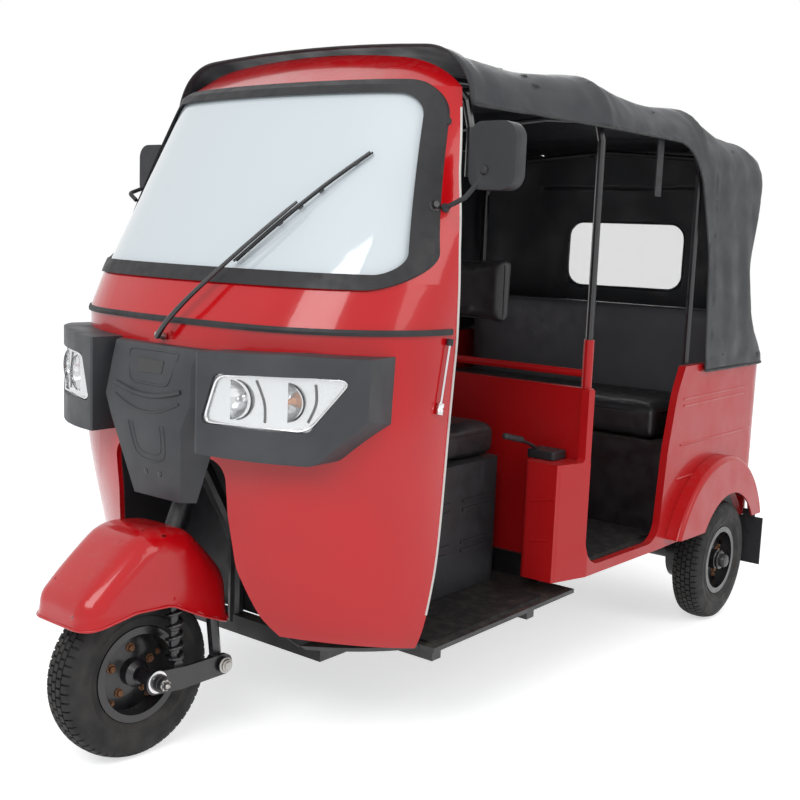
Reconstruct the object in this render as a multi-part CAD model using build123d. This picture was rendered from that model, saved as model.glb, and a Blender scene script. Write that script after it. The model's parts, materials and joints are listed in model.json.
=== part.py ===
"""Three-wheeled passenger taxi with a red pressed body and a black soft top.

Sizes are in millimetres. While a piece is modelled, X runs to the vehicle's left, Y runs rearward
from the front axle and Z runs up from the ground. The finished pieces are moved along Y together, so
that the origin lies under the middle of the whole vehicle.
"""
import os
from collections import namedtuple
from functools import cache
from math import atan2, cos, degrees, hypot, pi, radians, sin, sqrt, tan

from build123d import *

# Wheels
TYRE_RADIUS = 208
TYRE_WIDTH = 104
TYRE_SHOULDER = 19
RIM_RADIUS = 117
RIM_WIDTH = 86
RIM_FLANGE = 5
RIM_DROP = 13
HUB_RADIUS = 34
WHEELBASE = 2050
HALF_TRACK = 600

# Steering: the axis leans back from a point behind the front axle
RAKE = 24
STEER_Y = 130
STEER_Z = 520
STEER_AT_REST = 4
COLUMN_RADIUS = 17
COLUMN_BOSS = 27
HEAD_TUBE_WALL = 8
PIN_CLEARANCE = 1

# Front fascia: the red shell round the windscreen and the driver's legs
BODY_HALF_WIDTH = 560
FASCIA_WALL = 14
FASCIA_TOP = 1748
FASCIA_BOTTOM = 279
ROOF_HALF_WIDTH = 514
ROOF_FOOT_HALF_WIDTH = 700
SHOULDER_RADIUS = 140
CROWN_RADIUS = 5200
GLASS_THICKNESS = 5
GLASS_INSET = 4
GASKET_OVERLAP = 9
GASKET_BORDER = 27
GASKET_PROUD = 7
GASKET_LAP = 8
GASKET_BACK = 4
TRIM_Z = 1060
TRIM_HEIGHT = 14
TRIM_PROUD = 5

# Cab and passenger tub
FLOOR_THICKNESS = 12
DRIVER_FLOOR_Z = 282
DRIVER_FLOOR_HALF_WIDTH = 565
PASSENGER_FLOOR_Z = 352
SEAT_DECK_Z = 650
PARTITION_Y = 1165
PARTITION_THICKNESS = 24
PARTITION_TOP = 871
LEDGE_Y = 1035
LEDGE_Z = 664
SILL_Z = 325
TUB_HALF_WIDTH = 615
TUB_TOP = 905
TUB_WALL = 24
REAR_Y = 2440
REAR_CORNER = 150
RISER_Y = 1690
GAP = 1

# Canopy and its hoops
CANOPY_WALL = 6
CANOPY_HEM_Z = 882
CANOPY_OVERLAP = 8
HOOP_RADIUS = 11
ROOF_Z = 1764


def block(x, y, z):
    """Box between pairs of limits along the three axes."""
    limits = (x, y, z)
    middle = [(low + high) / 2 for low, high in limits]
    size = [high - low for low, high in limits]
    return Pos(*middle) * Box(*size)


def outline(corners):
    """Closed face through corners (u, v, radius), each rounded by its own radius."""
    count = len(corners)
    rounds = []
    for index, (u, v, radius) in enumerate(corners):
        here = Vector(u, v)
        back = (Vector(*corners[index - 1][:2]) - here).normalized()
        ahead = (Vector(*corners[(index + 1) % count][:2]) - here).normalized()
        if radius == 0:
            rounds.append((here, here, here))
            continue
        half = radians(back.get_angle(ahead)) / 2
        reach = radius / tan(half)
        centre = here + (back + ahead).normalized() * (radius / sin(half))
        middle = centre + (here - centre).normalized() * radius
        rounds.append((here + back * reach, middle, here + ahead * reach))
    edges = []
    for index, (start, middle, end) in enumerate(rounds):
        if (end - start).length > 1e-6:
            edges.append(ThreePointArc(start, middle, end))
        following = rounds[(index + 1) % count][0]
        if (following - end).length > 1e-6:
            edges.append(Line(end, following))
    return make_face(edges)


def side_prism(corners, x_low, x_high):
    """Side-view outline (y, z, radius) carried across from one X to another."""
    return extrude(Plane.YZ.offset(x_low) * outline(corners), x_high - x_low)


def front_prism(corners, y_low, y_high):
    """Front-view outline (x, z, radius) carried from one Y to another."""
    return extrude(Plane.XZ.offset(-y_high) * outline(corners), y_high - y_low)


def plan_prism(corners, z_low, z_high):
    """Plan outline (x, y, radius) carried from one height to another."""
    return extrude(Plane.XY.offset(z_low) * outline(corners), z_high - z_low)


def both(shape):
    """A piece of the vehicle's left with its twin on the right."""
    return [shape, mirror(shape, about=Plane.YZ)]


def merged(shapes):
    """One solid from pieces that touch."""
    result = shapes[0]
    for shape in shapes[1:]:
        result = result + shape
    return result


BEND_STEPS = 3
BAR_SIDES = 10


def bent(points, bend):
    """Points along straight runs whose corners are rounded in a few short steps."""
    route = [Vector(*points[0])]
    for before, here, after in zip(points, points[1:], points[2:]):
        corner = Vector(*here)
        back = (Vector(*before) - corner).normalized()
        ahead = (Vector(*after) - corner).normalized()
        half = radians(back.get_angle(ahead)) / 2
        centre = corner + (back + ahead).normalized() * (bend / sin(half))
        start = corner + back * (bend / tan(half)) - centre
        end = corner + ahead * (bend / tan(half)) - centre
        swing = pi - 2 * half
        for step in range(BEND_STEPS + 1):
            share = step / BEND_STEPS
            spoke = start * sin((1 - share) * swing) + end * sin(share * swing)
            route.append(centre + spoke * (1 / sin(swing)))
    return route + [Vector(*points[-1])]


def tube(points, radius, bend=None):
    """Bar along straight runs, with its corners bent or mitred."""
    if len(points) == 2:
        path = Line(*points)
        return sweep((path ^ 0) * Circle(radius), path=path)
    path = Polyline(*(bent(points, bend) if bend else points))
    return sweep((path ^ 0) * RegularPolygon(radius, BAR_SIDES), path=path, transition=Transition.RIGHT)


def rod_x(y, z, radius, x_low, x_high):
    """Cylinder that lies across the vehicle."""
    return Pos((x_low + x_high) / 2, y, z) * Rot(0, 90, 0) * Cylinder(radius, abs(x_high - x_low))


# The fascia's plan outline at each height: a flat front arc, a round corner and a straight side
Level = namedtuple("Level", "z front_y front_radius corner_radius")
LEVELS = (
    Level(270, 168, 620, 350),
    Level(330, 135, 640, 350),
    Level(450, 112, 700, 350),
    Level(600, 104, 900, 350),
    Level(850, 100, 1700, 352),
    Level(1060, 112, 1800, 352),
    Level(1172, 173, 1650, 325),
    Level(1640, 443, 1650, 325),
    Level(1760, 642, 1650, 325),
)
FASCIA_BACK = 1100


def plan_face(level, inset):
    """Plan outline of one level, drawn inside its true place by an inset."""
    corner_x = BODY_HALF_WIDTH - level.corner_radius
    front_centre = level.front_y + level.front_radius
    between = level.front_radius - level.corner_radius
    corner_y = front_centre - sqrt(between ** 2 - corner_x ** 2)
    turn = atan2(front_centre - corner_y, corner_x)
    radius = level.corner_radius - inset
    side_x = BODY_HALF_WIDTH - inset
    tangent = (corner_x + radius * cos(turn), corner_y - radius * sin(turn))
    middle = (corner_x + radius * cos(turn / 2), corner_y - radius * sin(turn / 2))
    side = (side_x, corner_y)
    rear = (side_x, FASCIA_BACK)
    flip = [(-x, y) for x, y in (tangent, middle, side, rear)]
    edges = [
        ThreePointArc(flip[0], (0, level.front_y + inset), tangent),
        ThreePointArc(tangent, middle, side),
        Line(side, rear),
        Line(rear, flip[3]),
        Line(flip[3], flip[2]),
        ThreePointArc(flip[2], flip[1], flip[0]),
    ]
    return Plane.XY.offset(level.z) * make_face(edges)


def arch_outline(half_width, bottom, top, shoulder, foot_width=None):
    """Front view of a roof arch: sides down to the foot, round shoulders and a slight crown."""
    corner_x = half_width - shoulder
    centre_z = top - CROWN_RADIUS
    corner_z = centre_z + sqrt((CROWN_RADIUS - shoulder) ** 2 - corner_x ** 2)
    turn = atan2(corner_z - centre_z, corner_x)
    tangent = (corner_x + shoulder * cos(turn), corner_z + shoulder * sin(turn))
    middle = (corner_x + shoulder * cos(turn / 2), corner_z + shoulder * sin(turn / 2))
    side = (half_width, corner_z)
    foot = (foot_width or half_width, bottom)
    flip = [(-x, z) for x, z in (tangent, middle, side, foot)]
    return make_face([
        ThreePointArc(flip[0], (0, top), tangent),
        ThreePointArc(tangent, middle, side),
        Line(side, foot),
        Line(foot, flip[3]),
        Line(flip[3], flip[2]),
        ThreePointArc(flip[2], flip[1], flip[0]),
    ])


@cache
def fascia_volume(inset):
    """The space inside the fascia's outer surface, drawn in by an inset."""
    body = loft([plan_face(level, inset) for level in LEVELS[:6]])
    for low, high in zip(LEVELS[5:], LEVELS[6:]):
        body = body + loft([plan_face(low, inset), plan_face(high, inset)], ruled=True)
    arch = arch_outline(ROOF_HALF_WIDTH - inset, 200, FASCIA_TOP - inset, SHOULDER_RADIUS - inset,
                        ROOF_FOOT_HALF_WIDTH - inset)
    return body & extrude(Plane.XZ.offset(-FASCIA_BACK) * arch, FASCIA_BACK)


# The fascia's rear edge seen from the side
REAR_EDGE = (
    (1800, 628), (1430, 541), (1250, 521), (1040, 523), (847, 506), (505, 483), (240, 451),
)


def behind_rear_edge(ahead=0):
    """Everything behind the fascia's rear edge."""
    edge = [(y - ahead, z, 0) for z, y in REAR_EDGE]
    return side_prism(edge + [(1200, 240, 0), (1200, 1800, 0)], -900, 900)


# Half of the windscreen's front-view outline: corners with their radii
SCREEN_HALF = ((524, 1190, 44), (442, 1620, 72))


def screen_prism(border):
    """The windscreen's outline grown by a border and carried through the fascia."""
    (low_x, low_z, low_r), (high_x, high_z, high_r) = SCREEN_HALF
    corners = [
        (low_x + border, low_z - border, low_r + border),
        (high_x + border, high_z + border, high_r + border),
        (-high_x - border, high_z + border, high_r + border),
        (-low_x - border, low_z - border, low_r + border),
    ]
    return front_prism(corners, 50, 720)


# The wheel well's arch between the two leg shields
WELL_HALF = ((345, 240, 0), (264, 360, 90), (216, 480, 120), (202, 610, 40), (202, 742, 50))
WELL_DEPTH_Y = 380
WELL_WALL = 5


def well_prism(inset, y_low, y_high):
    """The wheel well's arch carried along the vehicle."""
    right = [(-x + inset, z - (inset if z > 700 else 0), max(r - inset, 0)) for x, z, r in reversed(WELL_HALF)]
    left = [(x - inset, z - (inset if z > 700 else 0), max(r - inset, 0)) for x, z, r in WELL_HALF]
    return front_prism(left + right, y_low, y_high)


def column_axis(z):
    """Station of the steering axis at a height."""
    return STEER_Y + (z - STEER_Z) * tan(radians(RAKE))


STEER_PLANE = Plane(
    origin=(0, STEER_Y, STEER_Z),
    x_dir=(1, 0, 0),
    z_dir=(0, sin(radians(RAKE)), cos(radians(RAKE))),
)


def on_column(shape):
    """Place a shape drawn along the steering axis."""
    return STEER_PLANE * shape


OUTER = fascia_volume(0)
INNER = fascia_volume(FASCIA_WALL)
INNER_GAP = fascia_volume(FASCIA_WALL + GAP)


def front_fascia():
    shell = OUTER - INNER - behind_rear_edge()
    shell = shell - screen_prism(GASKET_BORDER - GASKET_LAP / 2)
    shell = shell - well_prism(0, -50, WELL_DEPTH_Y)
    under = side_prism([(0, 343, 0), (455, FASCIA_BOTTOM, 0), (900, FASCIA_BOTTOM, 0), (900, 0, 0), (0, 0, 0)],
                       -700, 700)
    return shell - under


def windscreen():
    pane = fascia_volume(GLASS_INSET) - fascia_volume(GLASS_INSET + GLASS_THICKNESS)
    return pane & screen_prism(GASKET_OVERLAP)


def windscreen_gasket():
    lip = (fascia_volume(-GASKET_PROUD) - OUTER) & (screen_prism(GASKET_BORDER + GASKET_LAP) - screen_prism(0))
    web = OUTER - fascia_volume(FASCIA_WALL + GASKET_BACK)
    return lip + (web & (screen_prism(GASKET_BORDER - GASKET_LAP / 2) - screen_prism(GASKET_OVERLAP)))


def trim_strip():
    strip = fascia_volume(-TRIM_PROUD) - OUTER
    return strip & block((-700, 700), (0, 500), (TRIM_Z - TRIM_HEIGHT / 2, TRIM_Z + TRIM_HEIGHT / 2))


def wheel_well():
    panel = well_prism(0, 60, WELL_DEPTH_Y) - well_prism(WELL_WALL, 50, WELL_DEPTH_Y - WELL_WALL)
    panel = panel & INNER
    column = on_column(Cylinder(COLUMN_RADIUS + HEAD_TUBE_WALL + 12, 900))
    return panel - column - block((-700, 700), (0, 700), (0, FASCIA_BOTTOM))



# Headlamps: the lens's front-view outline and its front curve in plan
LENS_HALF = ((241, 959, 14), (521, 964, 16), (446, 838, 18), (203, 843, 14))
LAMP_INNER = Vector(195, 30)
LAMP_MIDDLE = Vector(408, 106)
LAMP_OUTER = Vector(541, 226)
LAMP_SIDE_LEAN = 36
LENS_THICKNESS = 4
LENS_RECESS = 7
LAMP_DEPTH = 78
LAMP_GAP = 0.5
BEZEL_HALF = (
    (188, 770, 0), (458, 764, 30), (541, 868, 50), (560, 986, 14), (545, 1006, 14), (400, 1012, 0), (188, 1004, 0),
)
# The cowl's centre panel: half width and front station at each height
Panel = namedtuple("Panel", "z half_width front_y")
COWL_LEVELS = (
    Panel(626, 85, 81), Panel(818, 128, 42), Panel(869, 153, 45), Panel(960, 143, 58), Panel(1000, 150, 74),
)
COWL_FACET_WIDTH = 48
COWL_FACET_DEPTH = 52
COWL_BACK_Y = 190


def lamp_plan(depth, z_low, z_high):
    """The space behind the lamps' front curve, set back by a depth."""
    along = (LAMP_OUTER - LAMP_INNER).normalized()
    inward = Vector(-along.Y, along.X) * depth
    start, middle, end = LAMP_INNER + inward, LAMP_MIDDLE + inward, LAMP_OUTER + inward
    far = Vector(end.X - LAMP_SIDE_LEAN, 500)
    corner = Vector(start.X - 90, 500)
    near = Vector(start.X - 90, start.Y + 20)
    edges = [
        ThreePointArc(start, middle, end), Line(end, far), Line(far, corner),
        Line(corner, near), Line(near, start),
    ]
    return extrude(Plane.XY.offset(z_low) * make_face(edges), z_high - z_low)


def lamp_layer(front, back):
    """A layer that follows the lamps' front curve between two depths."""
    return lamp_plan(front, 700, 1100) - lamp_plan(back, 690, 1110)


def lens_prism(gap):
    """The lens outline, drawn in by a gap, carried through the cowl."""
    centre = Vector(344, 901)
    corners = []
    for x, z, radius in LENS_HALF:
        away = (Vector(x, z) - centre).normalized() * gap
        corners.append((x - away.X, z - away.Y, radius))
    return front_prism(corners, -50, 420)


def headlamp_lens():
    return lens_prism(LAMP_GAP) & lamp_layer(LENS_RECESS, LENS_RECESS + LENS_THICKNESS)


# Reflector bowls: front-view centre, rim radius and depth
Bowl = namedtuple("Bowl", "x z radius depth")
BOWLS = (Bowl(280, 902, 46, 46), Bowl(392, 904, 46, 46))


def headlamp():
    front = LENS_RECESS + LENS_THICKNESS + LAMP_GAP
    body = lens_prism(LAMP_GAP + 0.5) & lamp_layer(front, LAMP_DEPTH)
    for bowl in BOWLS:
        y = 66 + (bowl.x - 250) * 0.5
        body = body - Pos(bowl.x, y, bowl.z) * Rot(90, 0, 0) * Cone(14, bowl.radius, bowl.depth)
    return body


def front_cowl():
    faces = []
    for level in COWL_LEVELS:
        side = level.half_width + COWL_FACET_WIDTH
        side_y = level.front_y + COWL_FACET_DEPTH
        half = [(level.half_width, level.front_y), (side, side_y), (side, COWL_BACK_Y)]
        points = half + [(-x, y) for x, y in reversed(half)]
        faces.append(Plane.XY.offset(level.z) * make_face(Polyline(*points, close=True)))
    cowl = loft(faces, ruled=True)
    bezel = front_prism(BEZEL_HALF, -50, 420) & lamp_plan(0, 740, 1020)
    bezel = bezel - lens_prism(0) & lamp_layer(-50, LAMP_DEPTH + 200)
    for wing in both(bezel - lens_prism(0)):
        cowl = cowl + wing
    for pocket in both(lens_prism(0) & lamp_layer(-60, LAMP_DEPTH + 4)):
        cowl = cowl - pocket
    return cowl - OUTER


def wheel_tyre():
    """Tyre on an axle along X through the origin."""
    half = TYRE_WIDTH / 2
    bead = RIM_WIDTH / 2 - RIM_FLANGE
    side = [
        (bead, RIM_RADIUS - RIM_DROP, 0), (bead, RIM_RADIUS + 2, 0), (half, RIM_RADIUS + 34, 0),
        (half, TYRE_RADIUS - 34, 0), (half - TYRE_SHOULDER, TYRE_RADIUS, 0),
    ]
    face = outline(side + [(-x, r, 0) for x, r, radius in reversed(side)])
    return revolve(Plane.XZ * face, Axis.X)


def wheel_rim(drum_side):
    """Pressed rim with its disc, hub and the brake drum on one side of it."""
    half = RIM_WIDTH / 2
    seat = RIM_RADIUS - RIM_DROP
    barrel = outline([
        (-half, RIM_RADIUS, 0), (-half, seat - 5, 0), (half, seat - 5, 0), (half, RIM_RADIUS, 0),
        (half - RIM_FLANGE, RIM_RADIUS, 0), (half - RIM_FLANGE, seat, 0),
        (-half + RIM_FLANGE, seat, 0), (-half + RIM_FLANGE, RIM_RADIUS, 0),
    ])
    disc = outline([(4, HUB_RADIUS - 4, 0), (-10, seat - 3, 0), (-4, seat - 3, 0), (10, HUB_RADIUS - 4, 0)])
    hub = outline([(-50, 11, 0), (-50, HUB_RADIUS, 0), (34, HUB_RADIUS, 0), (46, 22, 0), (46, 11, 0)])
    drum = outline([(-48, 28, 0), (-48, 84, 0), (-6, 84, 0), (-6, 28, 0)])
    wheel = merged([revolve(Plane.XZ * face, Axis.X) for face in (barrel, disc, hub, drum)])
    return wheel if drum_side < 0 else mirror(wheel, about=Plane.YZ)


# Front fork, in the straight-ahead position
LEG_X = 84
LEG_RADIUS = 15
LINK_X = 107
LINK_THICKNESS = 12
PIVOT_Y = 200
PIVOT_Z = 200
CROWN_Z = 455
SPRING_Y = 72
SPRING_FOOT_Z = 242
SPRING_TOP_Z = 431
SPRING_PIN_RADIUS = 9
AXLE_RADIUS = 10
MUDGUARD_HALF_WIDTH = 116
MUDGUARD_EDGE = 52
MUDGUARD_WALL = 4
MUDGUARD_LIP = 5


def front_fork():
    crown_y = column_axis(CROWN_Z)
    crown = plan_prism([
        (-99, crown_y - 44, 20), (99, crown_y - 44, 20), (99, crown_y + 45, 20), (-99, crown_y + 45, 20),
    ], CROWN_Z - 10, CROWN_Z + 12)
    pieces = [crown]
    for side in (-1, 1):
        x = side * LEG_X
        pieces.append(tube([(x, crown_y + 26, CROWN_Z), (x, PIVOT_Y - 17, CROWN_Z - 90),
                            (x, PIVOT_Y, PIVOT_Z)], LEG_RADIUS, 60))
        pieces.append(rod_x(PIVOT_Y, PIVOT_Z, 21, x - 14, x + 13))
        pieces.append(rod_x(PIVOT_Y, PIVOT_Z, 8, x - side * 14, side * (LINK_X + 16)))
        pin = CROWN_Z - SPRING_TOP_Z - PIN_CLEARANCE
        pieces.append(Pos(x, SPRING_Y, CROWN_Z - pin / 2) * Cylinder(SPRING_PIN_RADIUS, pin))
    return merged(pieces) - on_column(Cylinder(COLUMN_RADIUS, 900))


def front_link():
    pieces = [rod_x(0, TYRE_RADIUS, AXLE_RADIUS, -LINK_X - 44, LINK_X + 44)]
    for side in (-1, 1):
        inner = side * (LINK_X - LINK_THICKNESS / 2)
        outer = side * (LINK_X + LINK_THICKNESS / 2)
        arm = side_prism([
            (-30, TYRE_RADIUS + 26, 24), (-30, TYRE_RADIUS - 28, 24), (70, PIVOT_Z - 30, 40),
            (PIVOT_Y + 28, PIVOT_Z - 26, 24), (PIVOT_Y + 28, PIVOT_Z + 26, 24), (90, PIVOT_Z + 24, 40),
        ], min(inner, outer), max(inner, outer))
        arm = arm - rod_x(PIVOT_Y, PIVOT_Z, 8.3, -200, 200)
        pieces.append(arm)
        pieces.append(rod_x(0, TYRE_RADIUS, 21, outer, outer + side * 16))
        pieces.append(rod_x(0, TYRE_RADIUS, 15, outer, outer + side * 30))
        pieces.append(rod_x(0, TYRE_RADIUS, 17, side * (RIM_WIDTH / 2 + 12), inner))
        pieces.append(rod_x(SPRING_Y, SPRING_FOOT_Z - 14, 13, side * (LEG_X - 12), inner))
    return merged(pieces)


SPRING_WIRE = 5
SPRING_COIL = 18
SPRING_TURNS = 6
SPRING_STEPS = 12
SPRING_CUP = 6


def front_springs():
    """Coil springs round their dampers."""
    height = SPRING_TOP_Z - SPRING_FOOT_Z
    steps = SPRING_TURNS * SPRING_STEPS
    rise = (height - 2 * SPRING_CUP) / steps
    turn = 2 * pi / SPRING_STEPS
    route = []
    for step in range(steps + 1):
        angle = step * turn
        route.append((SPRING_COIL * cos(angle), SPRING_COIL * sin(angle), SPRING_CUP + step * rise))
    path = Polyline(*route)
    coil = sweep((path ^ 0) * RegularPolygon(SPRING_WIRE, 6), path=path, transition=Transition.RIGHT)
    upward = (Align.CENTER, Align.CENTER, Align.MIN)
    pieces = [Cylinder(SPRING_COIL - 2, height, align=upward), coil]
    for z in (0, height - SPRING_CUP):
        pieces.append(Pos(0, 0, z) * Cylinder(SPRING_COIL + SPRING_WIRE, SPRING_CUP, align=upward))
    spring = merged(pieces)
    return [Pos(side * LEG_X, SPRING_Y, SPRING_FOOT_Z) * spring for side in (-1, 1)]


# The mudguard's crest seen from the side, and its wavy lower lip
CREST = ((-192, 100, 0), (-192, 424, 60), (-22, 573, 110), (112, 556, 80), (226, 428, 110), (252, 100, 0))
LIP = ((-400, 384), (-180, 370), (-60, 392), (40, 388), (130, 342), (205, 312), (400, 312))


def dome(inset):
    """Helmet-shaped space of the front mudguard, drawn in by an inset."""
    face = offset(outline(CREST), -inset, kind=Kind.INTERSECTION)
    half = MUDGUARD_HALF_WIDTH - inset
    body = extrude(Plane.YZ.offset(-half) * face, 2 * half)
    rims = [edge for edge in body.edges().filter_by_position(Axis.X, -half - 1, -half + 1)
            + body.edges().filter_by_position(Axis.X, half - 1, half + 1) if edge.center().Z > 110]
    return fillet(rims, MUDGUARD_EDGE - inset)


def below_lip(rise):
    """Everything under the mudguard's lower lip, moved up by a rise."""
    lip = [(y, z + rise, 0 if abs(y) == 400 else 60) for y, z in LIP]
    return side_prism(lip + [(400, 0, 0), (-400, 0, 0)], -200, 200)


def front_mudguard():
    shell = dome(0) - dome(MUDGUARD_WALL) - below_lip(0)
    rim = (dome(-MUDGUARD_LIP) - dome(MUDGUARD_WALL) - below_lip(0)) & below_lip(9)
    return shell + rim - on_column(Cylinder(COLUMN_BOSS + 2, 900))


COLUMN_FOOT = -80
COLUMN_TOP = 545
BOSS_RISE = 44
HEAD_FOOT = 95
HEAD_TOP = 250


def steering_column():
    length = COLUMN_TOP - COLUMN_FOOT
    shaft = Cylinder(COLUMN_RADIUS, length, align=(Align.CENTER, Align.CENTER, Align.MIN))
    boss = Cylinder(COLUMN_BOSS, HEAD_FOOT - COLUMN_FOOT - BOSS_RISE - 6, align=(Align.CENTER, Align.CENTER, Align.MIN))
    return on_column(Pos(0, 0, COLUMN_FOOT) * shaft + Pos(0, 0, COLUMN_FOOT + BOSS_RISE) * boss)


BAR_RADIUS = 11
BAR_HALF_WIDTH = 335
GRIP_RADIUS = 17
GRIP_CLEARANCE = 0.3


def handlebar():
    half = [(BAR_HALF_WIDTH, 130, COLUMN_TOP + 12), (200, 60, COLUMN_TOP + 42), (70, 0, COLUMN_TOP + 14)]
    points = half + [(-x, y, z) for x, y, z in reversed(half)]
    bar = tube(points, BAR_RADIUS, 40)
    clamp = Pos(0, 0, COLUMN_TOP + 8) * Box(86, 60, 44)
    column = Pos(0, 0, COLUMN_TOP - 14) * Cylinder(COLUMN_RADIUS, 32)
    levers = []
    for side in (-1, 1):
        start = (side * 216, 68, COLUMN_TOP + 38)
        levers.append(tube([start, (side * 232, 24, COLUMN_TOP + 30), (side * 326, 78, COLUMN_TOP + 8)], 6, 16))
    return on_column(merged([bar, clamp] + levers) - column)


def handlebar_grips():
    grips = []
    for side in (-1, 1):
        start = Vector(side * BAR_HALF_WIDTH, 130, COLUMN_TOP + 12)
        end = Vector(side * 200, 60, COLUMN_TOP + 42)
        along = (end - start).normalized()
        first, last = start - along * 8, start + along * 118
        bore = tube([tuple(first + along * 7), tuple(last + along)], BAR_RADIUS + GRIP_CLEARANCE)
        grip = tube([tuple(first), tuple(last)], GRIP_RADIUS) - bore
        grips.append(on_column(grip))
    return grips


RAIL_X = 300
RAIL_WIDTH = 44
RAIL_HEIGHT = 48
RAIL_FRONT_Y = 335
RAIL_REAR_Y = 2400
OUTRIGGER_X = 545
TOW_Y = 2430
TOW_Z = 296
TOW_BORE = 13
TOW_EYE_HALF = 8


def chassis_frame():
    top_front = DRIVER_FLOOR_Z - FLOOR_THICKNESS
    top_rear = PASSENGER_FLOOR_Z - FLOOR_THICKNESS
    step = PARTITION_Y
    profile = [
        (RAIL_FRONT_Y, top_front, 0), (step, top_front, 0), (step + 80, top_rear, 0), (RAIL_REAR_Y, top_rear, 0),
        (RAIL_REAR_Y, top_rear - RAIL_HEIGHT, 0), (step + 100, top_rear - RAIL_HEIGHT, 0),
        (step + 20, top_front - RAIL_HEIGHT, 0), (RAIL_FRONT_Y, top_front - RAIL_HEIGHT, 0),
    ]
    pieces = []
    for side in (-1, 1):
        x = side * RAIL_X
        pieces.append(side_prism(profile, x - RAIL_WIDTH / 2, x + RAIL_WIDTH / 2))
    for y in (RAIL_FRONT_Y + 20, 700):
        pieces.append(block((-RAIL_X, RAIL_X), (y - 20, y + 20), (top_front - RAIL_HEIGHT, top_front)))
    for y in (1300, RISER_Y, RAIL_REAR_Y - 20):
        pieces.append(block((-RAIL_X, RAIL_X), (y - 20, y + 20), (top_rear - RAIL_HEIGHT, top_rear)))
    for side in (-1, 1):
        near, far = side * RAIL_X, side * OUTRIGGER_X
        for y, top in ((520, top_front), (960, top_front), (1300, top_rear), (1600, top_rear)):
            pieces.append(block((min(near, far), max(near, far)), (y - 18, y + 18), (top - 32, top)))
    bore = COLUMN_RADIUS + PIN_CLEARANCE
    head = Pos(0, 0, HEAD_FOOT) * Cylinder(bore + HEAD_TUBE_WALL, HEAD_TOP - HEAD_FOOT,
                                          align=(Align.CENTER, Align.CENTER, Align.MIN))
    neck = tube([(0, column_axis(680) + 30, 680), (0, RAIL_FRONT_Y + 18, 470),
                 (0, RAIL_FRONT_Y + 18, top_front - 20)], 21, 100)
    pieces.append(neck)
    pieces.append(on_column(head))
    pieces.append(block((-TOW_EYE_HALF, TOW_EYE_HALF), (RAIL_REAR_Y - 10, TOW_Y), (TOW_Z - 26, TOW_Z + 26)))
    pieces.append(rod_x(TOW_Y, TOW_Z, 26, -TOW_EYE_HALF, TOW_EYE_HALF))
    frame = merged(pieces) - rod_x(TOW_Y, TOW_Z, TOW_BORE, -50, 50)
    return frame - on_column(Cylinder(bore, 1200))


ENGINE_HALF_WIDTH = 150
BOOT_HALF_WIDTH = 455


def floor_pan():
    low = DRIVER_FLOOR_Z - FLOOR_THICKNESS
    high = PASSENGER_FLOOR_Z - FLOOR_THICKNESS
    front = INNER_GAP & block((-700, 700), (0, 480), (low, DRIVER_FLOOR_Z))
    front = front - well_prism(-GAP, -50, WELL_DEPTH_Y + GAP)
    driver = block((-DRIVER_FLOOR_HALF_WIDTH, DRIVER_FLOOR_HALF_WIDTH), (480, PARTITION_Y), (low, DRIVER_FLOOR_Z))
    driver = driver - block((-180, 180), (740, 1030), (low - 9, DRIVER_FLOOR_Z + 9))
    riser = block((-448, 448), (PARTITION_Y - FLOOR_THICKNESS, PARTITION_Y), (low, PASSENGER_FLOOR_Z))
    passenger = block((-572, 572), (PARTITION_Y, RISER_Y), (high, PASSENGER_FLOOR_Z))
    inside = TUB_HALF_WIDTH - TUB_WALL - 3
    seat_riser = block((-inside, inside), (RISER_Y, RISER_Y + FLOOR_THICKNESS), (high, SEAT_DECK_Z))
    back = REAR_Y - TUB_WALL - GAP
    deck = plan_prism([
        (-inside, RISER_Y, 0), (inside, RISER_Y, 0), (inside, back, REAR_CORNER - TUB_WALL),
        (-inside, back, REAR_CORNER - TUB_WALL),
    ], SEAT_DECK_Z - FLOOR_THICKNESS, SEAT_DECK_Z)
    boot = block((-BOOT_HALF_WIDTH, BOOT_HALF_WIDTH), (RISER_Y, back), (high, PASSENGER_FLOOR_Z))
    return merged([front, driver, riser, passenger, seat_riser, deck, boot])


MAT_THICKNESS = 6


def floor_mats():
    driver = plan_prism([
        (-545, 500, 20), (545, 500, 20), (545, 1025, 20), (350, 1025, 0), (350, 660, 0),
        (-350, 660, 0), (-350, 1025, 0), (-545, 1025, 20),
    ], DRIVER_FLOOR_Z, DRIVER_FLOOR_Z + MAT_THICKNESS)
    passenger = plan_prism([
        (-560, PARTITION_Y + 30, 20), (560, PARTITION_Y + 30, 20), (560, RISER_Y - 4, 20), (-560, RISER_Y - 4, 20),
    ], PASSENGER_FLOOR_Z, PASSENGER_FLOOR_Z + MAT_THICKNESS)
    return [driver, passenger]


SEAT_BOX_HALF_WIDTH = 345


def underseat_box():
    shell = block((-SEAT_BOX_HALF_WIDTH, SEAT_BOX_HALF_WIDTH), (665, 1080), (DRIVER_FLOOR_Z, 655))
    shell = fillet(shell.edges().filter_by(Axis.Z), 30)
    shell = shell - block((-SEAT_BOX_HALF_WIDTH + 8, SEAT_BOX_HALF_WIDTH - 8), (673, 1072), (0, 647))
    ribs = []
    for side in (-1, 1):
        for y in (760, 960):
            for z in (400, 425, 520, 545):
                x = side * SEAT_BOX_HALF_WIDTH
                ribs.append(block((x - 3, x + 3), (y - 70, y + 70), (z, z + 8)))
    return merged([shell] + ribs)


def engine():
    return block((-ENGINE_HALF_WIDTH, ENGINE_HALF_WIDTH), (770, 1000), (200, 600))


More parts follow.
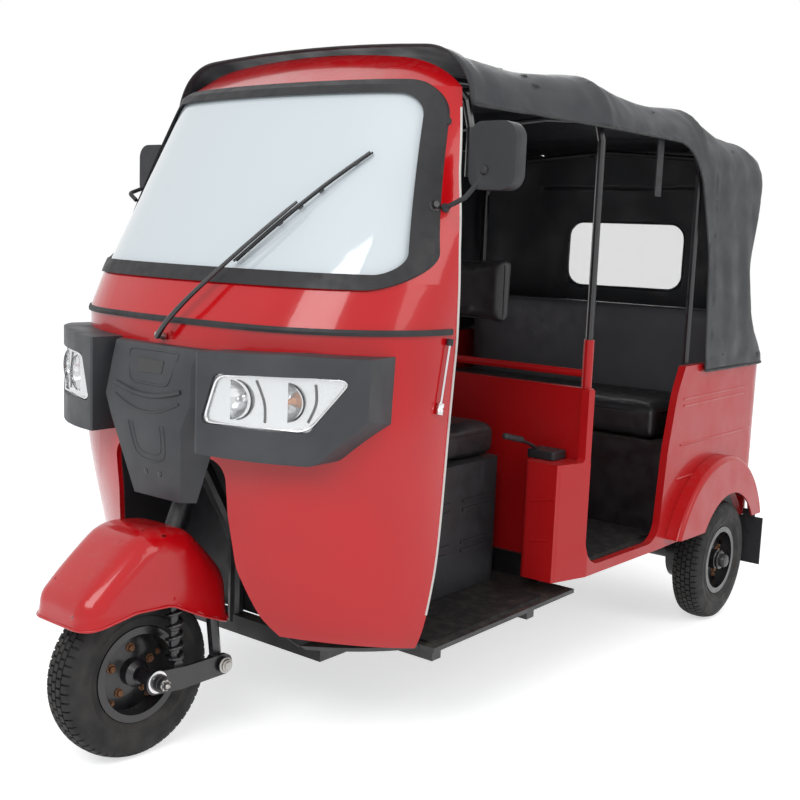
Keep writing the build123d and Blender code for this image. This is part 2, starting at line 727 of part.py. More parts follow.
# Seat and backrest as limits along X, Y and Z and an edge radius
DRIVER_CUSHIONS = (((-345, 345), (700, 1085), (655, 757), 24), ((-330, 330), (1085, 1150), (1030, 1235), 24))
PASSENGER_CUSHIONS = (
    ((-545, 545), (1682, 2150), (SEAT_DECK_Z, 768), 30), ((-545, 545), (2152, 2232), (SEAT_DECK_Z, 1085), 28),
)


def cushion(x, y, z, radius):
    return fillet(block(x, y, z).edges(), radius)


PARTITION_HALF_WIDTH = 574
POST_X = 556
POST_Y = 1178
POST_RADIUS = 15
RAIL_Z = 912
POST_JOINT_Z = 1010


def partition():
    """Wall behind the driver, with the feet of the posts and the rail that runs between them."""
    y = (PARTITION_Y, PARTITION_Y + PARTITION_THICKNESS)
    pieces = [block((-PARTITION_HALF_WIDTH, PARTITION_HALF_WIDTH), y, (PASSENGER_FLOOR_Z, PARTITION_TOP))]
    for side in (-1, 1):
        foot = (side * POST_X, POST_Y, PARTITION_TOP - 1)
        pieces.append(tube([foot, (side * POST_X, POST_Y, POST_JOINT_Z)], POST_RADIUS))
    pieces.append(rod_x(POST_Y, RAIL_Z, BAR_RADIUS, -POST_X, POST_X))
    return merged(pieces)


# Hoops of the canopy: station, half width, foot height and crown height
Hoop = namedtuple("Hoop", "y half_width foot_z crown_z")
HOOPS = (
    Hoop(628, 498, 1430, 1708),
    Hoop(POST_Y, 556, 1010, 1724),
    Hoop(1800, 572, TUB_TOP, 1702),
    Hoop(2262, 556, TUB_TOP, 1622),
)
HOOP_BEND = 130
CROWN_RISE = 40


def canopy_frame():
    pieces = []
    for hoop in HOOPS:
        shoulder = hoop.crown_z - CROWN_RISE
        half = [(hoop.half_width, hoop.y, hoop.foot_z), (hoop.half_width, hoop.y, shoulder)]
        points = half + [(0, hoop.y, hoop.crown_z)] + [(-x, y, z) for x, y, z in reversed(half)]
        pieces.append(tube(points, HOOP_RADIUS, HOOP_BEND))
    for side in (-1, 1):
        for first, second in zip(HOOPS, HOOPS[1:]):
            start = (side * (first.half_width - 60), first.y, first.crown_z - CROWN_RISE - 6)
            end = (side * (second.half_width - 60), second.y, second.crown_z - CROWN_RISE - 6)
            pieces.append(tube([start, end], 9))
    return merged(pieces)


# Canopy sections: station, shoulder half width, foot half width, crown height
Rib = namedtuple("Rib", "y half_width foot_width crown_z")
RIBS = (
    Rib(590, 522, 560, 1756),
    Rib(860, 556, 590, 1752),
    Rib(POST_Y, 584, 606, ROOF_Z),
    Rib(1500, 592, 618, 1745),
    Rib(1800, 597, 626, 1741),
    Rib(2060, 594, 628, 1698),
    Rib(2300, 590, 628, 1668),
    Rib(2480, 586, 628, 1640),
)
CANOPY_BACK_Y = REAR_Y + CANOPY_OVERLAP + 1
CANOPY_SHOULDER = 150


# The canopy's rear corners: height, corner radius in plan and how far the back stands forward
Waist = namedtuple("Waist", "z radius forward")
WAIST = (
    Waist(700, 159, 0), Waist(915, 159, 0), Waist(1050, 290, 14), Waist(1200, 336, 22),
    Waist(1480, 255, 16), Waist(1900, 255, 24),
)
CANOPY_FRONT = 400
ROOF_BREAK_Y = 2060


def canopy_volume(inset):
    """The space inside the canopy's outer surface, drawn in by an inset."""
    faces = []
    for rib in RIBS:
        face = arch_outline(rib.half_width - inset, CANOPY_HEM_Z - 30, rib.crown_z - inset,
                            CANOPY_SHOULDER - inset, rib.foot_width - inset)
        faces.append(Plane.XZ.offset(-rib.y) * face)
    body = loft(faces, ruled=True)
    back = CANOPY_BACK_Y - inset
    slope = side_prism([
        (CANOPY_FRONT, 1900, 0), (ROOF_BREAK_Y, 1900, 0), (back - 20, 1690 - inset, 110),
        (back - 20, 700, 0), (CANOPY_FRONT, 700, 0),
    ], -700, 700)
    width = TUB_HALF_WIDTH + CANOPY_OVERLAP + 1 - inset
    sections = []
    for waist in WAIST:
        y = CANOPY_BACK_Y - waist.forward - inset
        corner = waist.radius - inset
        half = [(width, CANOPY_FRONT, 0), (width, y, corner)]
        plan = outline(half + [(-x, station, radius) for x, station, radius in reversed(half)])
        sections.append(Plane.XY.offset(waist.z) * plan)
    return body & (slope + block((-700, 700), (CANOPY_FRONT, back + 9), (700, 1500))) & loft(sections, ruled=True)


WINDOW_HALF_WIDTH = 250
WINDOW_LOW = 1114
WINDOW_HIGH = 1366


def window_prism(gap):
    x, low, high = WINDOW_HALF_WIDTH - gap, WINDOW_LOW + gap, WINDOW_HIGH - gap
    return front_prism([(-x, low, 60), (x, low, 60), (x, high, 60), (-x, high, 60)], 2300, 2500)


def canopy():
    shell = canopy_volume(0) - canopy_volume(CANOPY_WALL)
    opening = side_prism([
        (400, 600, 0), (400, 1598, 0), (1742, 1598, 200), (1836, 1250, 300), (1836, 600, 0),
    ], -700, 700)
    shell = shell - opening - window_prism(0)
    shell = shell - block((-560, 560), (400, 900), (1000, 1598))
    return shell - block((-700, 700), (400, 2500), (700, CANOPY_HEM_Z))


def rear_window():
    pane = canopy_volume(1) - canopy_volume(4)
    return pane & window_prism(0.5)


# The tub's side in plan and the door opening in its side view
ARCH_RADIUS = 262
REAR_PANEL_X = 460


def side_panel():
    wall = TUB_WALL
    outer = [
        (560, LEDGE_Y, 0), (599, PARTITION_Y, 80), (TUB_HALF_WIDTH, 1600, 400),
        (TUB_HALF_WIDTH, REAR_Y, REAR_CORNER), (REAR_PANEL_X, REAR_Y, 0),
    ]
    inner = [
        (REAR_PANEL_X, REAR_Y - wall, 0), (TUB_HALF_WIDTH - wall, REAR_Y - wall, REAR_CORNER - wall),
        (TUB_HALF_WIDTH - wall, 1600, 400), (599 - wall, PARTITION_Y, 80), (560 - wall, LEDGE_Y, 0),
    ]
    band = plan_prism(outer + inner, SILL_Z, TUB_TOP)
    ledge = plan_prism([(450, LEDGE_Y, 20), (561, LEDGE_Y, 20), (600, PARTITION_Y, 0), (450, PARTITION_Y, 0)],
                       SILL_Z, LEDGE_Z)
    door = side_prism([
        (1157, 1000, 0), (1157, 354, 78), (1596, 354, 70), (1625, 640, 240), (1668, 820, 200), (1764, 1000, 0),
    ], 400, 700)
    low_front = side_prism([(1000, LEDGE_Z, 0), (1136, LEDGE_Z, 12), (1136, 1000, 0), (1000, 1000, 0)], 400, 700)
    over = block((400, 700), (1000, 1500), (PARTITION_TOP, 1000))
    arch = rod_x(WHEELBASE, TYRE_RADIUS, ARCH_RADIUS, 400, 700)
    return band + ledge - door - low_front - over - arch


FENDER_OUT = 53
FENDER_WALL = 6
FENDER_RADIUS = 375
FENDER_Y = 1995


def fender_prism(inset, x_low, x_high):
    """The fender's side-view crescent."""
    disc = rod_x(FENDER_Y, TYRE_RADIUS, FENDER_RADIUS - inset, x_low, x_high)
    return disc - side_prism([(1500, 356, 0), (2500, 330, 0), (2500, -300, 0), (1500, -300, 0)], 400, 800)


def rear_fender():
    outer = fender_prism(0, TUB_HALF_WIDTH + GAP, TUB_HALF_WIDTH + FENDER_OUT)
    rim = outer.edges().filter_by(GeomType.CIRCLE).sort_by(Axis.X)[-1]
    outer = fillet(rim, 16)
    inner = fender_prism(FENDER_WALL, TUB_HALF_WIDTH, TUB_HALF_WIDTH + FENDER_OUT - FENDER_WALL)
    mouth = rod_x(WHEELBASE - 5, TYRE_RADIUS - 8, 250, 500, 800)
    return outer - inner - mouth


def mudflap():
    skirt = block((560, 690), (2300, 2305), (150, SILL_Z - 3))
    tab = block((TUB_HALF_WIDTH, 660), (2300, 2305), (SILL_Z - 3, SILL_Z + 22))
    return skirt + tab


DOOR_HALF_WIDTH = 335
DOOR_LOW = 405
DOOR_HIGH = 795
DOOR_GAP = 5
DOOR_THICKNESS = 20
HINGE_Y = REAR_Y + 9
HINGE_Z = DOOR_HIGH + 17
HINGE_X = 200


def door_prism(grow):
    x, low, high = DOOR_HALF_WIDTH + grow, DOOR_LOW - grow, DOOR_HIGH + grow
    radius = 40 + grow
    return front_prism([(-x, low, radius), (x, low, radius), (x, high, radius), (-x, high, radius)], 2300, 2600)


def rear_panel():
    wall = block((-REAR_PANEL_X + GAP, REAR_PANEL_X - GAP), (REAR_Y - TUB_WALL, REAR_Y), (SILL_Z, TUB_TOP))
    wall = wall - door_prism(DOOR_GAP)
    for x in (-60, 60):
        wall = wall - Pos(x, REAR_Y, 850) * Rot(90, 0, 0) * Cylinder(3.5, 100)
    pieces = [wall]
    for side in (-1, 1):
        for offset in (-30, 30):
            x = side * HINGE_X + offset
            knuckle = rod_x(HINGE_Y, HINGE_Z, 8, x - 12, x + 12)
            foot = block((x - 12, x + 12), (REAR_Y, HINGE_Y), (HINGE_Z - 5, HINGE_Z + 8))
            pieces.append(knuckle + foot)
        pieces.append(rod_x(HINGE_Y, HINGE_Z, 3, side * HINGE_X - 40, side * HINGE_X + 40))
    return merged(pieces)


def rear_door():
    plate = door_prism(0) & block((-700, 700), (REAR_Y - DOOR_THICKNESS, REAR_Y), (0, 1000))
    plate = plate + (front_prism([
        (-270, DOOR_LOW + 60, 30), (270, DOOR_LOW + 60, 30), (270, DOOR_HIGH - 70, 30), (-270, DOOR_HIGH - 70, 30),
    ], REAR_Y, REAR_Y + 6))
    pieces = [plate]
    for side in (-1, 1):
        x = side * HINGE_X
        knuckle = rod_x(HINGE_Y, HINGE_Z, 8, x - 15, x + 15)
        strap = side_prism([
            (REAR_Y - 2, DOOR_HIGH - 40, 0), (REAR_Y + 4, DOOR_HIGH - 40, 0), (REAR_Y + 4, HINGE_Z - 12, 0),
            (HINGE_Y + 7, HINGE_Z - 4, 0), (HINGE_Y, HINGE_Z, 0), (REAR_Y + 1, HINGE_Z - 4, 0),
            (REAR_Y + 1, DOOR_HIGH - 4, 0), (REAR_Y - 2, DOOR_HIGH - 4, 0),
        ], x - 15, x + 15)
        pieces.append(knuckle + strap - rod_x(HINGE_Y, HINGE_Z, 3.4, x - 50, x + 50))
    pieces.append(Pos(0, REAR_Y + 14, DOOR_LOW + 34) * Rot(90, 0, 0) * Cylinder(9, 28))
    pieces.append(block((-45, 45), (REAR_Y + 22, REAR_Y + 34), (DOOR_LOW + 26, DOOR_LOW + 42)))
    return merged(pieces)


def tail_lamp():
    return front_prism([(372, 560, 14), (448, 560, 14), (448, 720, 14), (372, 720, 14)], REAR_Y, REAR_Y + 24)


def wheel_arch_lining():
    shell = rod_x(WHEELBASE, TYRE_RADIUS, ARCH_RADIUS + 8, 492, TUB_HALF_WIDTH - TUB_WALL - GAP)
    shell = shell - rod_x(WHEELBASE, TYRE_RADIUS, ARCH_RADIUS + 4, 496, 700)
    return shell - block((400, 700), (1600, 2500), (-200, SILL_Z + 14))


BEAM_RADIUS = 30


def rear_axle():
    """Beam axle with its final drive, and the shaft that drives it."""
    beam = rod_x(WHEELBASE, TYRE_RADIUS, BEAM_RADIUS, -480, 480)
    case = Pos(0, WHEELBASE, TYRE_RADIUS) * Sphere(88)
    nose = tube([(0, WHEELBASE - 150, TYRE_RADIUS + 4), (0, WHEELBASE - 40, TYRE_RADIUS)], 46)
    stub = rod_x(WHEELBASE, TYRE_RADIUS, 10, -HALF_TRACK - 40, HALF_TRACK + 40)
    plates = [rod_x(WHEELBASE, TYRE_RADIUS, 88, side * 480, side * 540) for side in (-1, 1)]
    shaft = tube([(0, 1001, 236), (0, WHEELBASE - 140, TYRE_RADIUS + 4)], 20)
    return merged([beam, case, nose, stub, shaft] + plates)


def leaf_springs():
    springs = []
    for side in (-1, 1):
        x = side * RAIL_X
        leaves = []
        for index, half in enumerate((330, 230, 140)):
            top = TYRE_RADIUS + BEAM_RADIUS + 26 - index * 7
            leaves.append(block((x - 22, x + 22), (WHEELBASE - half, WHEELBASE + half), (top - 7, top)))
        ends = [block((x - 20, x + 20), (WHEELBASE + end * 322 - 12, WHEELBASE + end * 322 + 12),
                      (TYRE_RADIUS + BEAM_RADIUS + 20, PASSENGER_FLOOR_Z - FLOOR_THICKNESS - RAIL_HEIGHT))
                for end in (-1, 1)]
        springs.append(merged(leaves + ends))
    return springs


def exhaust():
    pipe = tube([(-169, 900, 240), (-215, 1150, 225), (-215, 1500, 230)], 18, 100)
    muffler = tube([(-215, 1480, 230), (-215, 1790, 230)], 45)
    tail = tube([(-215, 1780, 230), (-215, 1850, 228)], 14)
    return merged([pipe, muffler, tail])


DASH_REAR_Y = 352
DASH_LOW = 1118
DASH_HIGH = 1150
POD_HEIGHT = 46


def dashboard():
    shelf = INNER & block((-700, 700), (0, DASH_REAR_Y), (DASH_LOW, DASH_HIGH))
    pod = block((-120, 120), (DASH_REAR_Y - 102, DASH_REAR_Y - 2), (DASH_HIGH, DASH_HIGH + POD_HEIGHT))
    pod = fillet(pod.edges().filter_by(Axis.Z), 20)
    return (shelf + pod) & INNER


# Mirrors: the head's nearer edge, front station and lower edge on each side, and the arm's elbow
Mirror = namedtuple("Mirror", "side x y z")
MIRRORS = (Mirror(1, 596, 486, 1392), Mirror(-1, 596, 604, 1370))
MIRROR_WIDTH = 126
MIRROR_HEIGHT = 154
MIRROR_DEPTH = 44
MIRROR_BASE = (BODY_HALF_WIDTH, 462, 1352)


def wing_mirror(place):
    near, far = place.x, place.x + MIRROR_WIDTH
    low, high = place.z, place.z + MIRROR_HEIGHT
    head = front_prism([(near, low, 32), (far, low, 38), (far, high, 38), (near, high, 32)],
                       place.y, place.y + MIRROR_DEPTH)
    elbow = (BODY_HALF_WIDTH + 40, MIRROR_BASE[1] + 8, MIRROR_BASE[2] + 20)
    arm = tube([MIRROR_BASE, elbow, (near + 44, place.y + MIRROR_DEPTH / 2, low + 48)], 6, 20)
    shape = head + arm
    return shape if place.side > 0 else shape.mirror(Plane.YZ)


def skin_y(x, z):
    """Y of the fascia's skin at one place in the front view."""
    pairs = list(zip(LEVELS, LEVELS[1:]))
    low, high = next(pair for pair in pairs if z <= pair[1].z)
    stations = []
    for level in (low, high):
        corner_x = BODY_HALF_WIDTH - level.corner_radius
        centre = level.front_y + level.front_radius
        corner_y = centre - sqrt((level.front_radius - level.corner_radius) ** 2 - corner_x ** 2)
        edge = corner_x + level.corner_radius * cos(atan2(centre - corner_y, corner_x))
        if abs(x) <= edge:
            stations.append(centre - sqrt(level.front_radius ** 2 - x ** 2))
        else:
            stations.append(corner_y - sqrt(level.corner_radius ** 2 - (abs(x) - corner_x) ** 2))
    share = (z - low.z) / (high.z - low.z)
    return stations[0] + share * (stations[1] - stations[0])


# Wiper seen from the front: pivot, arm's elbow and joint, blade's ends
WIPER_PIVOT = (-8, 1018)
WIPER_ELBOW = (36, 1064)
WIPER_JOINT = (266, 1350)
WIPER_BLADE = ((144, 1206), (382, 1472))
WIPER_LIFT = 24
WIPER_BOSS_RADIUS = 9


def off_skin(place, lift):
    """A point in front of the fascia's skin."""
    x, z = place
    return (x, skin_y(x, z) - lift, z)


def wiper():
    base = off_skin(WIPER_PIVOT, WIPER_BOSS_RADIUS / 2)
    upward = (Align.CENTER, Align.CENTER, Align.MIN)
    pivot = Pos(*base) * Rot(74, 0, 0) * Cylinder(WIPER_BOSS_RADIUS, 32, align=upward)
    arm = tube([off_skin(WIPER_PIVOT, 30), off_skin(WIPER_ELBOW, WIPER_LIFT + 20),
                off_skin(WIPER_JOINT, WIPER_LIFT + 12)], 6)
    (low_x, low_z), (high_x, high_z) = WIPER_BLADE
    middle = ((low_x + high_x) / 2, (low_z + high_z) / 2)
    blade = tube([off_skin(WIPER_BLADE[0], WIPER_LIFT), off_skin(middle, WIPER_LIFT + 4),
                  off_skin(WIPER_BLADE[1], WIPER_LIFT)], 6)
    return merged([pivot, arm, blade])


def hand_straps():
    strap = block((556, 560), (1520, 1560), (1430, 1610))
    return both(strap)


def turned(shape):
    """Turn a steered piece about the steering axis to its place at rest."""
    axis = Axis((0, STEER_Y, STEER_Z), (0, sin(radians(RAKE)), cos(radians(RAKE))))
    return shape.rotate(axis, STEER_AT_REST * -1)


def together(shapes):
    """Several separate solids kept as one sub-part."""
    return Compound(children=list(shapes))


def build_parts():
    parts = {}
    fascia = front_fascia()
    lamp_hole = lens_prism(-3) & lamp_layer(-60, LAMP_DEPTH + 6)
    for hole in both(lamp_hole):
        fascia = fascia - hole
    parts["front_fascia"] = fascia
    parts["windscreen"] = windscreen()
    parts["rubber_trims"] = together([windscreen_gasket(), trim_strip()])
    parts["front_wheel_well"] = wheel_well()
    parts["front_cowl"] = front_cowl()
    parts["headlamps"] = together(both(headlamp()))
    parts["headlamp_lenses"] = together(both(headlamp_lens()))
    parts["wiper"] = wiper()
    parts["mirrors"] = together([wing_mirror(place) for place in MIRRORS])
    parts["dashboard"] = dashboard()
    parts["floor_pan"] = floor_pan()
    parts["floor_mats"] = together(floor_mats())
    parts["chassis_frame"] = chassis_frame()
    parts["engine"] = engine()
    parts["exhaust"] = exhaust()
    parts["rear_axle"] = rear_axle()
    parts["leaf_springs"] = together(leaf_springs())
    left, right = both(side_panel())
    parts["side_panel_left"] = left
    parts["side_panel_right"] = right
    parts["rear_panel"] = rear_panel()
    parts["rear_door"] = rear_door()
    parts["partition"] = partition()
    parts["canopy_frame"] = canopy_frame()
    parts["canopy"] = canopy()
    parts["rear_window"] = rear_window()
    parts["driver_cushions"] = together([cushion(*limits) for limits in DRIVER_CUSHIONS])
    parts["passenger_cushions"] = together([cushion(*limits) for limits in PASSENGER_CUSHIONS])
    parts["underseat_box"] = underseat_box()
    parts["rear_fenders"] = together(both(rear_fender()))
    parts["mudflaps"] = together(both(mudflap()))
    parts["tail_lamps"] = together(both(tail_lamp()))
    parts["wheel_arch_linings"] = together(both(wheel_arch_lining()))
    parts["hand_straps"] = together(hand_straps())
    steered = {
        "steering_column": steering_column(),
        "handlebar": handlebar(),
        "handlebar_grips": together(handlebar_grips()),
        "front_fork": front_fork(),
        "front_link": front_link(),
        "front_springs": together(front_springs()),
        "front_mudguard": front_mudguard(),
        "front_tyre": Pos(0, 0, TYRE_RADIUS) * wheel_tyre(),
        "front_rim": Pos(0, 0, TYRE_RADIUS) * wheel_rim(-1),
    }
    for name, shape in steered.items():
        parts[name] = turned(shape)
    for side, name in ((1, "left"), (-1, "right")):
        place = Pos(side * HALF_TRACK, WHEELBASE, TYRE_RADIUS)
        parts[f"rear_{name}_tyre"] = place * wheel_tyre()
        parts[f"rear_{name}_rim"] = place * wheel_rim(-side)
    return parts


PARTS = build_parts()
limits = Compound(children=[copy for copy in PARTS.values()]).bounding_box()
ORIGIN_Y = (limits.min.Y + limits.max.Y) / 2


def main():
    os.makedirs("parts", exist_ok=True)
    for name, shape in PARTS.items():
        export_step(Compound(shape.moved(Location((0, -ORIGIN_Y, 0))).solids()), f"parts/{name}.step")
    size = limits.size
    print(f"{len(PARTS)} sub-parts, {size.X:.0f} x {size.Y:.0f} x {size.Z:.0f} mm, origin {ORIGIN_Y:.2f}")


main()
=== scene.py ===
# %% [markdown]
# # A red auto rickshaw with a black soft top
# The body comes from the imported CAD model, which stands in this scene in metres: +X is the vehicle's
# left, +Y runs to the rear and +Z is up. This script gives every solid its finish and adds what a
# solid can't show: tread, bolts, trim, cushions, lamps and the cloth of the canopy.

# %% Load the model
import json
import bmesh
import bpy
from math import radians, sin, cos, pi, sqrt, exp
from mathutils import Vector, Matrix, Euler
from mathutils.bvhtree import BVHTree

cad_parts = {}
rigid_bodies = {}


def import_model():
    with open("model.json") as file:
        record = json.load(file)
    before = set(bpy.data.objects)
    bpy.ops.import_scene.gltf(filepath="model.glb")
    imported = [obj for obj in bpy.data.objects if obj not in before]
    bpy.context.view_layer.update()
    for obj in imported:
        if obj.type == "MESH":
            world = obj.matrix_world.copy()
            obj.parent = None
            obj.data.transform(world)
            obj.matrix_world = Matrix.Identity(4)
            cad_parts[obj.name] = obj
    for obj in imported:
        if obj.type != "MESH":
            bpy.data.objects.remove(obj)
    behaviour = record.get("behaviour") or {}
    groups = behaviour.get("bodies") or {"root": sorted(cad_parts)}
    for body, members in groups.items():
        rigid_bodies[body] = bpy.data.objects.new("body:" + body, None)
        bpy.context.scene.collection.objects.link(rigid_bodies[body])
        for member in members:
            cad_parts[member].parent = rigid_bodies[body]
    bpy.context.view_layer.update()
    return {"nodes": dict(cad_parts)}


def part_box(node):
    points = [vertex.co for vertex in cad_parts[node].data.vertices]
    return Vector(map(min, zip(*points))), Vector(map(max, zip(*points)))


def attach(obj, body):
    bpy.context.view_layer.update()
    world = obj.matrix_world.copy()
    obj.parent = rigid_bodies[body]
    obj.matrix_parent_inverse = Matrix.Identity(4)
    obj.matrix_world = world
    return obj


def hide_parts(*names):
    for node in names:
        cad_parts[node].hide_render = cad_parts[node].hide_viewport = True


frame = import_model()

# %% [markdown]
# ## Where things are
# The vehicle's drawing measures in millimetres from the ground under the front wheel. One helper turns
# such a place into the scene's metres, so every size below can be read against a real vehicle. The rear
# tyre tells how far the two frames are apart: its centre is one wheelbase behind the front axle.

# %% From the drawing's millimetres to the scene's metres
WHEELBASE = 2.050
tyre_low, tyre_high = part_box("rear_left_tyre")
axle_y = (tyre_low[1] + tyre_high[1]) / 2 - WHEELBASE


def at(x, y, z):
    return Vector((x / 1000, y / 1000 + axle_y, z / 1000))


print("front axle at y", round(axle_y, 4))

# %% [markdown]
# ## The camera
# The photograph was taken from the front left corner at about eye height. Its lens and place were
# worked out from the wheels and the body, so here they are only set down.

# %% Camera at the photograph's viewpoint
LENS_MM = 51.681
camera = bpy.data.objects.new("camera", bpy.data.cameras.new("camera"))
camera.data.lens = LENS_MM
camera.data.sensor_width = 36
camera.data.clip_end = 60
camera.location = at(2145.506, -1715.970, 1280.705)
camera.rotation_euler = Euler((radians(81.8616), radians(-2.2929), radians(38.3554)))
bpy.context.scene.collection.objects.link(camera)
bpy.context.scene.camera = camera
print("camera at", [round(v, 3) for v in camera.location])

# %% [markdown]
# ## A plain pale studio
# A wide floor and a white surround. The world's light reaches the object as soft daylight, while rays
# that go straight to the camera, or by way of gloss and glass, meet plain white.

# %% Floor and world
def new_object(name, mesh_or_curve):
    piece = bpy.data.objects.new(name, mesh_or_curve)
    bpy.context.scene.collection.objects.link(piece)
    return piece


def mesh_from(name, points, faces, smooth=True):
    mesh = bpy.data.meshes.new(name)
    mesh.from_pydata([tuple(p) for p in points], [], faces)
    mesh.validate()
    if smooth:
        mesh.shade_smooth()
    return new_object(name, mesh)


studio_scene = bpy.context.scene
studio_scene.view_settings.view_transform = "Standard"
floor_half = 14
floor = mesh_from("floor", [(-floor_half, -floor_half, 0), (floor_half, -floor_half, 0),
                            (floor_half, floor_half, 0), (-floor_half, floor_half, 0)], [(0, 1, 2, 3)], False)


def white_seen(links, nodes):
    """1 for rays that show the surround: to the camera, off gloss or through glass."""
    path = nodes.new("ShaderNodeLightPath")
    first = nodes.new("ShaderNodeMath")
    first.operation = "MAXIMUM"
    links.new(path.outputs["Is Camera Ray"], first.inputs[0])
    links.new(path.outputs["Is Glossy Ray"], first.inputs[1])
    second = nodes.new("ShaderNodeMath")
    second.operation = "MAXIMUM"
    links.new(first.outputs[0], second.inputs[0])
    links.new(path.outputs["Is Transmission Ray"], second.inputs[1])
    return second.outputs[0]


world = bpy.data.worlds.new("studio")
studio_scene.world = world
world.use_nodes = True
sky_nodes, sky_links = world.node_tree.nodes, world.node_tree.links
sky_nodes.clear()
sky_out = sky_nodes.new("ShaderNodeOutputWorld")
daylight = sky_nodes.new("ShaderNodeBackground")
daylight.inputs["Color"].default_value = (0.93, 0.96, 1.0, 1)
daylight.inputs["Strength"].default_value = 0.5
plain_white = sky_nodes.new("ShaderNodeBackground")
plain_white.inputs["Color"].default_value = (1, 1, 1, 1)
plain_white.inputs["Strength"].default_value = 1.0
sky_mix = sky_nodes.new("ShaderNodeMixShader")
sky_links.new(white_seen(sky_links, sky_nodes), sky_mix.inputs[0])
sky_links.new(daylight.outputs[0], sky_mix.inputs[1])
sky_links.new(plain_white.outputs[0], sky_mix.inputs[2])
sky_links.new(sky_mix.outputs[0], sky_out.inputs["Surface"])

paper = bpy.data.materials.new("pale_floor")
paper.use_nodes = True
floor_nodes, floor_links = paper.node_tree.nodes, paper.node_tree.links
floor_base = floor_nodes["Principled BSDF"]
floor_base.inputs["Base Color"].default_value = (0.9, 0.9, 0.9, 1)
floor_base.inputs["Roughness"].default_value = 0.95
floor_base.inputs["Specular IOR Level"].default_value = 0.1
floor_base.inputs["Emission Color"].default_value = (1, 1, 1, 1)
glow = floor_nodes.new("ShaderNodeMath")
glow.operation = "MULTIPLY"
glow.inputs[1].default_value = 0.6
floor_links.new(white_seen(floor_links, floor_nodes), glow.inputs[0])
floor_links.new(glow.outputs[0], floor_base.inputs["Emission Strength"])
floor.data.materials.append(paper)
print("floor", floor_half * 2, "m across")

# %% [markdown]
# ## Soft lamps
# Three large area lamps: one high in front on the left, which draws the long highlight on the nose, one
# wide and weak from the right, and one behind that rims the canopy.

# %% Lamps
def soft_lamp(name, place, target, size, watts, colour=(1, 1, 1)):
    lamp = bpy.data.lights.new(name, "AREA")
    lamp.shape = "RECTANGLE"
    lamp.size, lamp.size_y = size
    lamp.energy = watts
    lamp.color = colour
    holder = new_object(name, lamp)
    holder.location = place
    holder.rotation_euler = (Vector(target) - Vector(place)).to_track_quat("-Z", "Y").to_euler()
    return holder


lamps = [
    soft_lamp("front_lamp", (1.6, -4.6, 4.2), (0, -0.4, 0.9), (3.2, 2.2), 120),
    soft_lamp("side_lamp", (5.2, 0.6, 3.4), (0.2, 0.2, 0.8), (3.0, 3.0), 62, (1, 0.98, 0.95)),
    soft_lamp("rear_lamp", (-3.0, 5.0, 4.2), (0, 0.4, 1.0), (3.0, 2.4), 60),
]
print("lamps:", [lamp.name for lamp in lamps])

# %% [markdown]
# ## Finishes
# Each finish is a node material: a base shader whose colour, roughness and bump come from noise in the
# object's own space. The object's space is used, not UVs, because the CAD solids have none.
# `finish` makes the shader, and small helpers add one kind of detail each, so that a finish reads as
# a short list: what colour, how it varies, how it shines and how its surface is broken.

# %% Helpers for finishes
def finish(name, colour, roughness, metallic=0.0, specular=0.5, coat=0.0, coat_roughness=0.05):
    material = bpy.data.materials.new(name)
    material.use_nodes = True
    shader = material.node_tree.nodes["Principled BSDF"]
    shader.inputs["Base Color"].default_value = (*colour, 1)
    shader.inputs["Roughness"].default_value = roughness
    shader.inputs["Metallic"].default_value = metallic
    shader.inputs["Specular IOR Level"].default_value = specular
    shader.inputs["Coat Weight"].default_value = coat
    shader.inputs["Coat Roughness"].default_value = coat_roughness
    return material


def place_node(material):
    nodes = material.node_tree.nodes
    if "place" not in nodes:
        nodes.new("ShaderNodeTexCoord").name = "place"
    return nodes["place"].outputs["Object"]


def noise_of(material, scale, detail=3.0, stretch=(1, 1, 1)):
    nodes, links = material.node_tree.nodes, material.node_tree.links
    mapping = nodes.new("ShaderNodeMapping")
    mapping.inputs["Scale"].default_value = stretch
    links.new(place_node(material), mapping.inputs["Vector"])
    noise = nodes.new("ShaderNodeTexNoise")
    noise.inputs["Scale"].default_value = scale
    noise.inputs["Detail"].default_value = detail
    links.new(mapping.outputs[0], noise.inputs["Vector"])
    return noise.outputs["Fac"]


def cells_of(material, scale, feature="F1"):
    nodes, links = material.node_tree.nodes, material.node_tree.links
    cells = nodes.new("ShaderNodeTexVoronoi")
    cells.feature = feature
    cells.inputs["Scale"].default_value = scale
    links.new(place_node(material), cells.inputs["Vector"])
    return cells.outputs["Distance"]


def spread(material, value, low, high, from_low=0.3, from_high=0.7):
    nodes, links = material.node_tree.nodes, material.node_tree.links
    span = nodes.new("ShaderNodeMapRange")
    span.inputs["From Min"].default_value = from_low
    span.inputs["From Max"].default_value = from_high
    span.inputs["To Min"].default_value = low
    span.inputs["To Max"].default_value = high
    links.new(value, span.inputs["Value"])
    return span.outputs["Result"]


def vary_roughness(material, value, low, high):
    shader = material.node_tree.nodes["Principled BSDF"]
    material.node_tree.links.new(spread(material, value, low, high), shader.inputs["Roughness"])


def blend_colour(material, value, colour, amount, from_low=0.45, from_high=0.75):
    """Lay a second colour over what the base has so far, where value is high."""
    nodes, links = material.node_tree.nodes, material.node_tree.links
    shader = nodes["Principled BSDF"]
    mix = nodes.new("ShaderNodeMix")
    mix.data_type = "RGBA"
    socket = shader.inputs["Base Color"]
    if socket.links:
        links.new(socket.links[0].from_socket, mix.inputs["A"])
    else:
        mix.inputs["A"].default_value = socket.default_value
    mix.inputs["B"].default_value = (*colour, 1)
    links.new(spread(material, value, 0, amount, from_low, from_high), mix.inputs["Factor"])
    links.new(mix.outputs["Result"], socket)


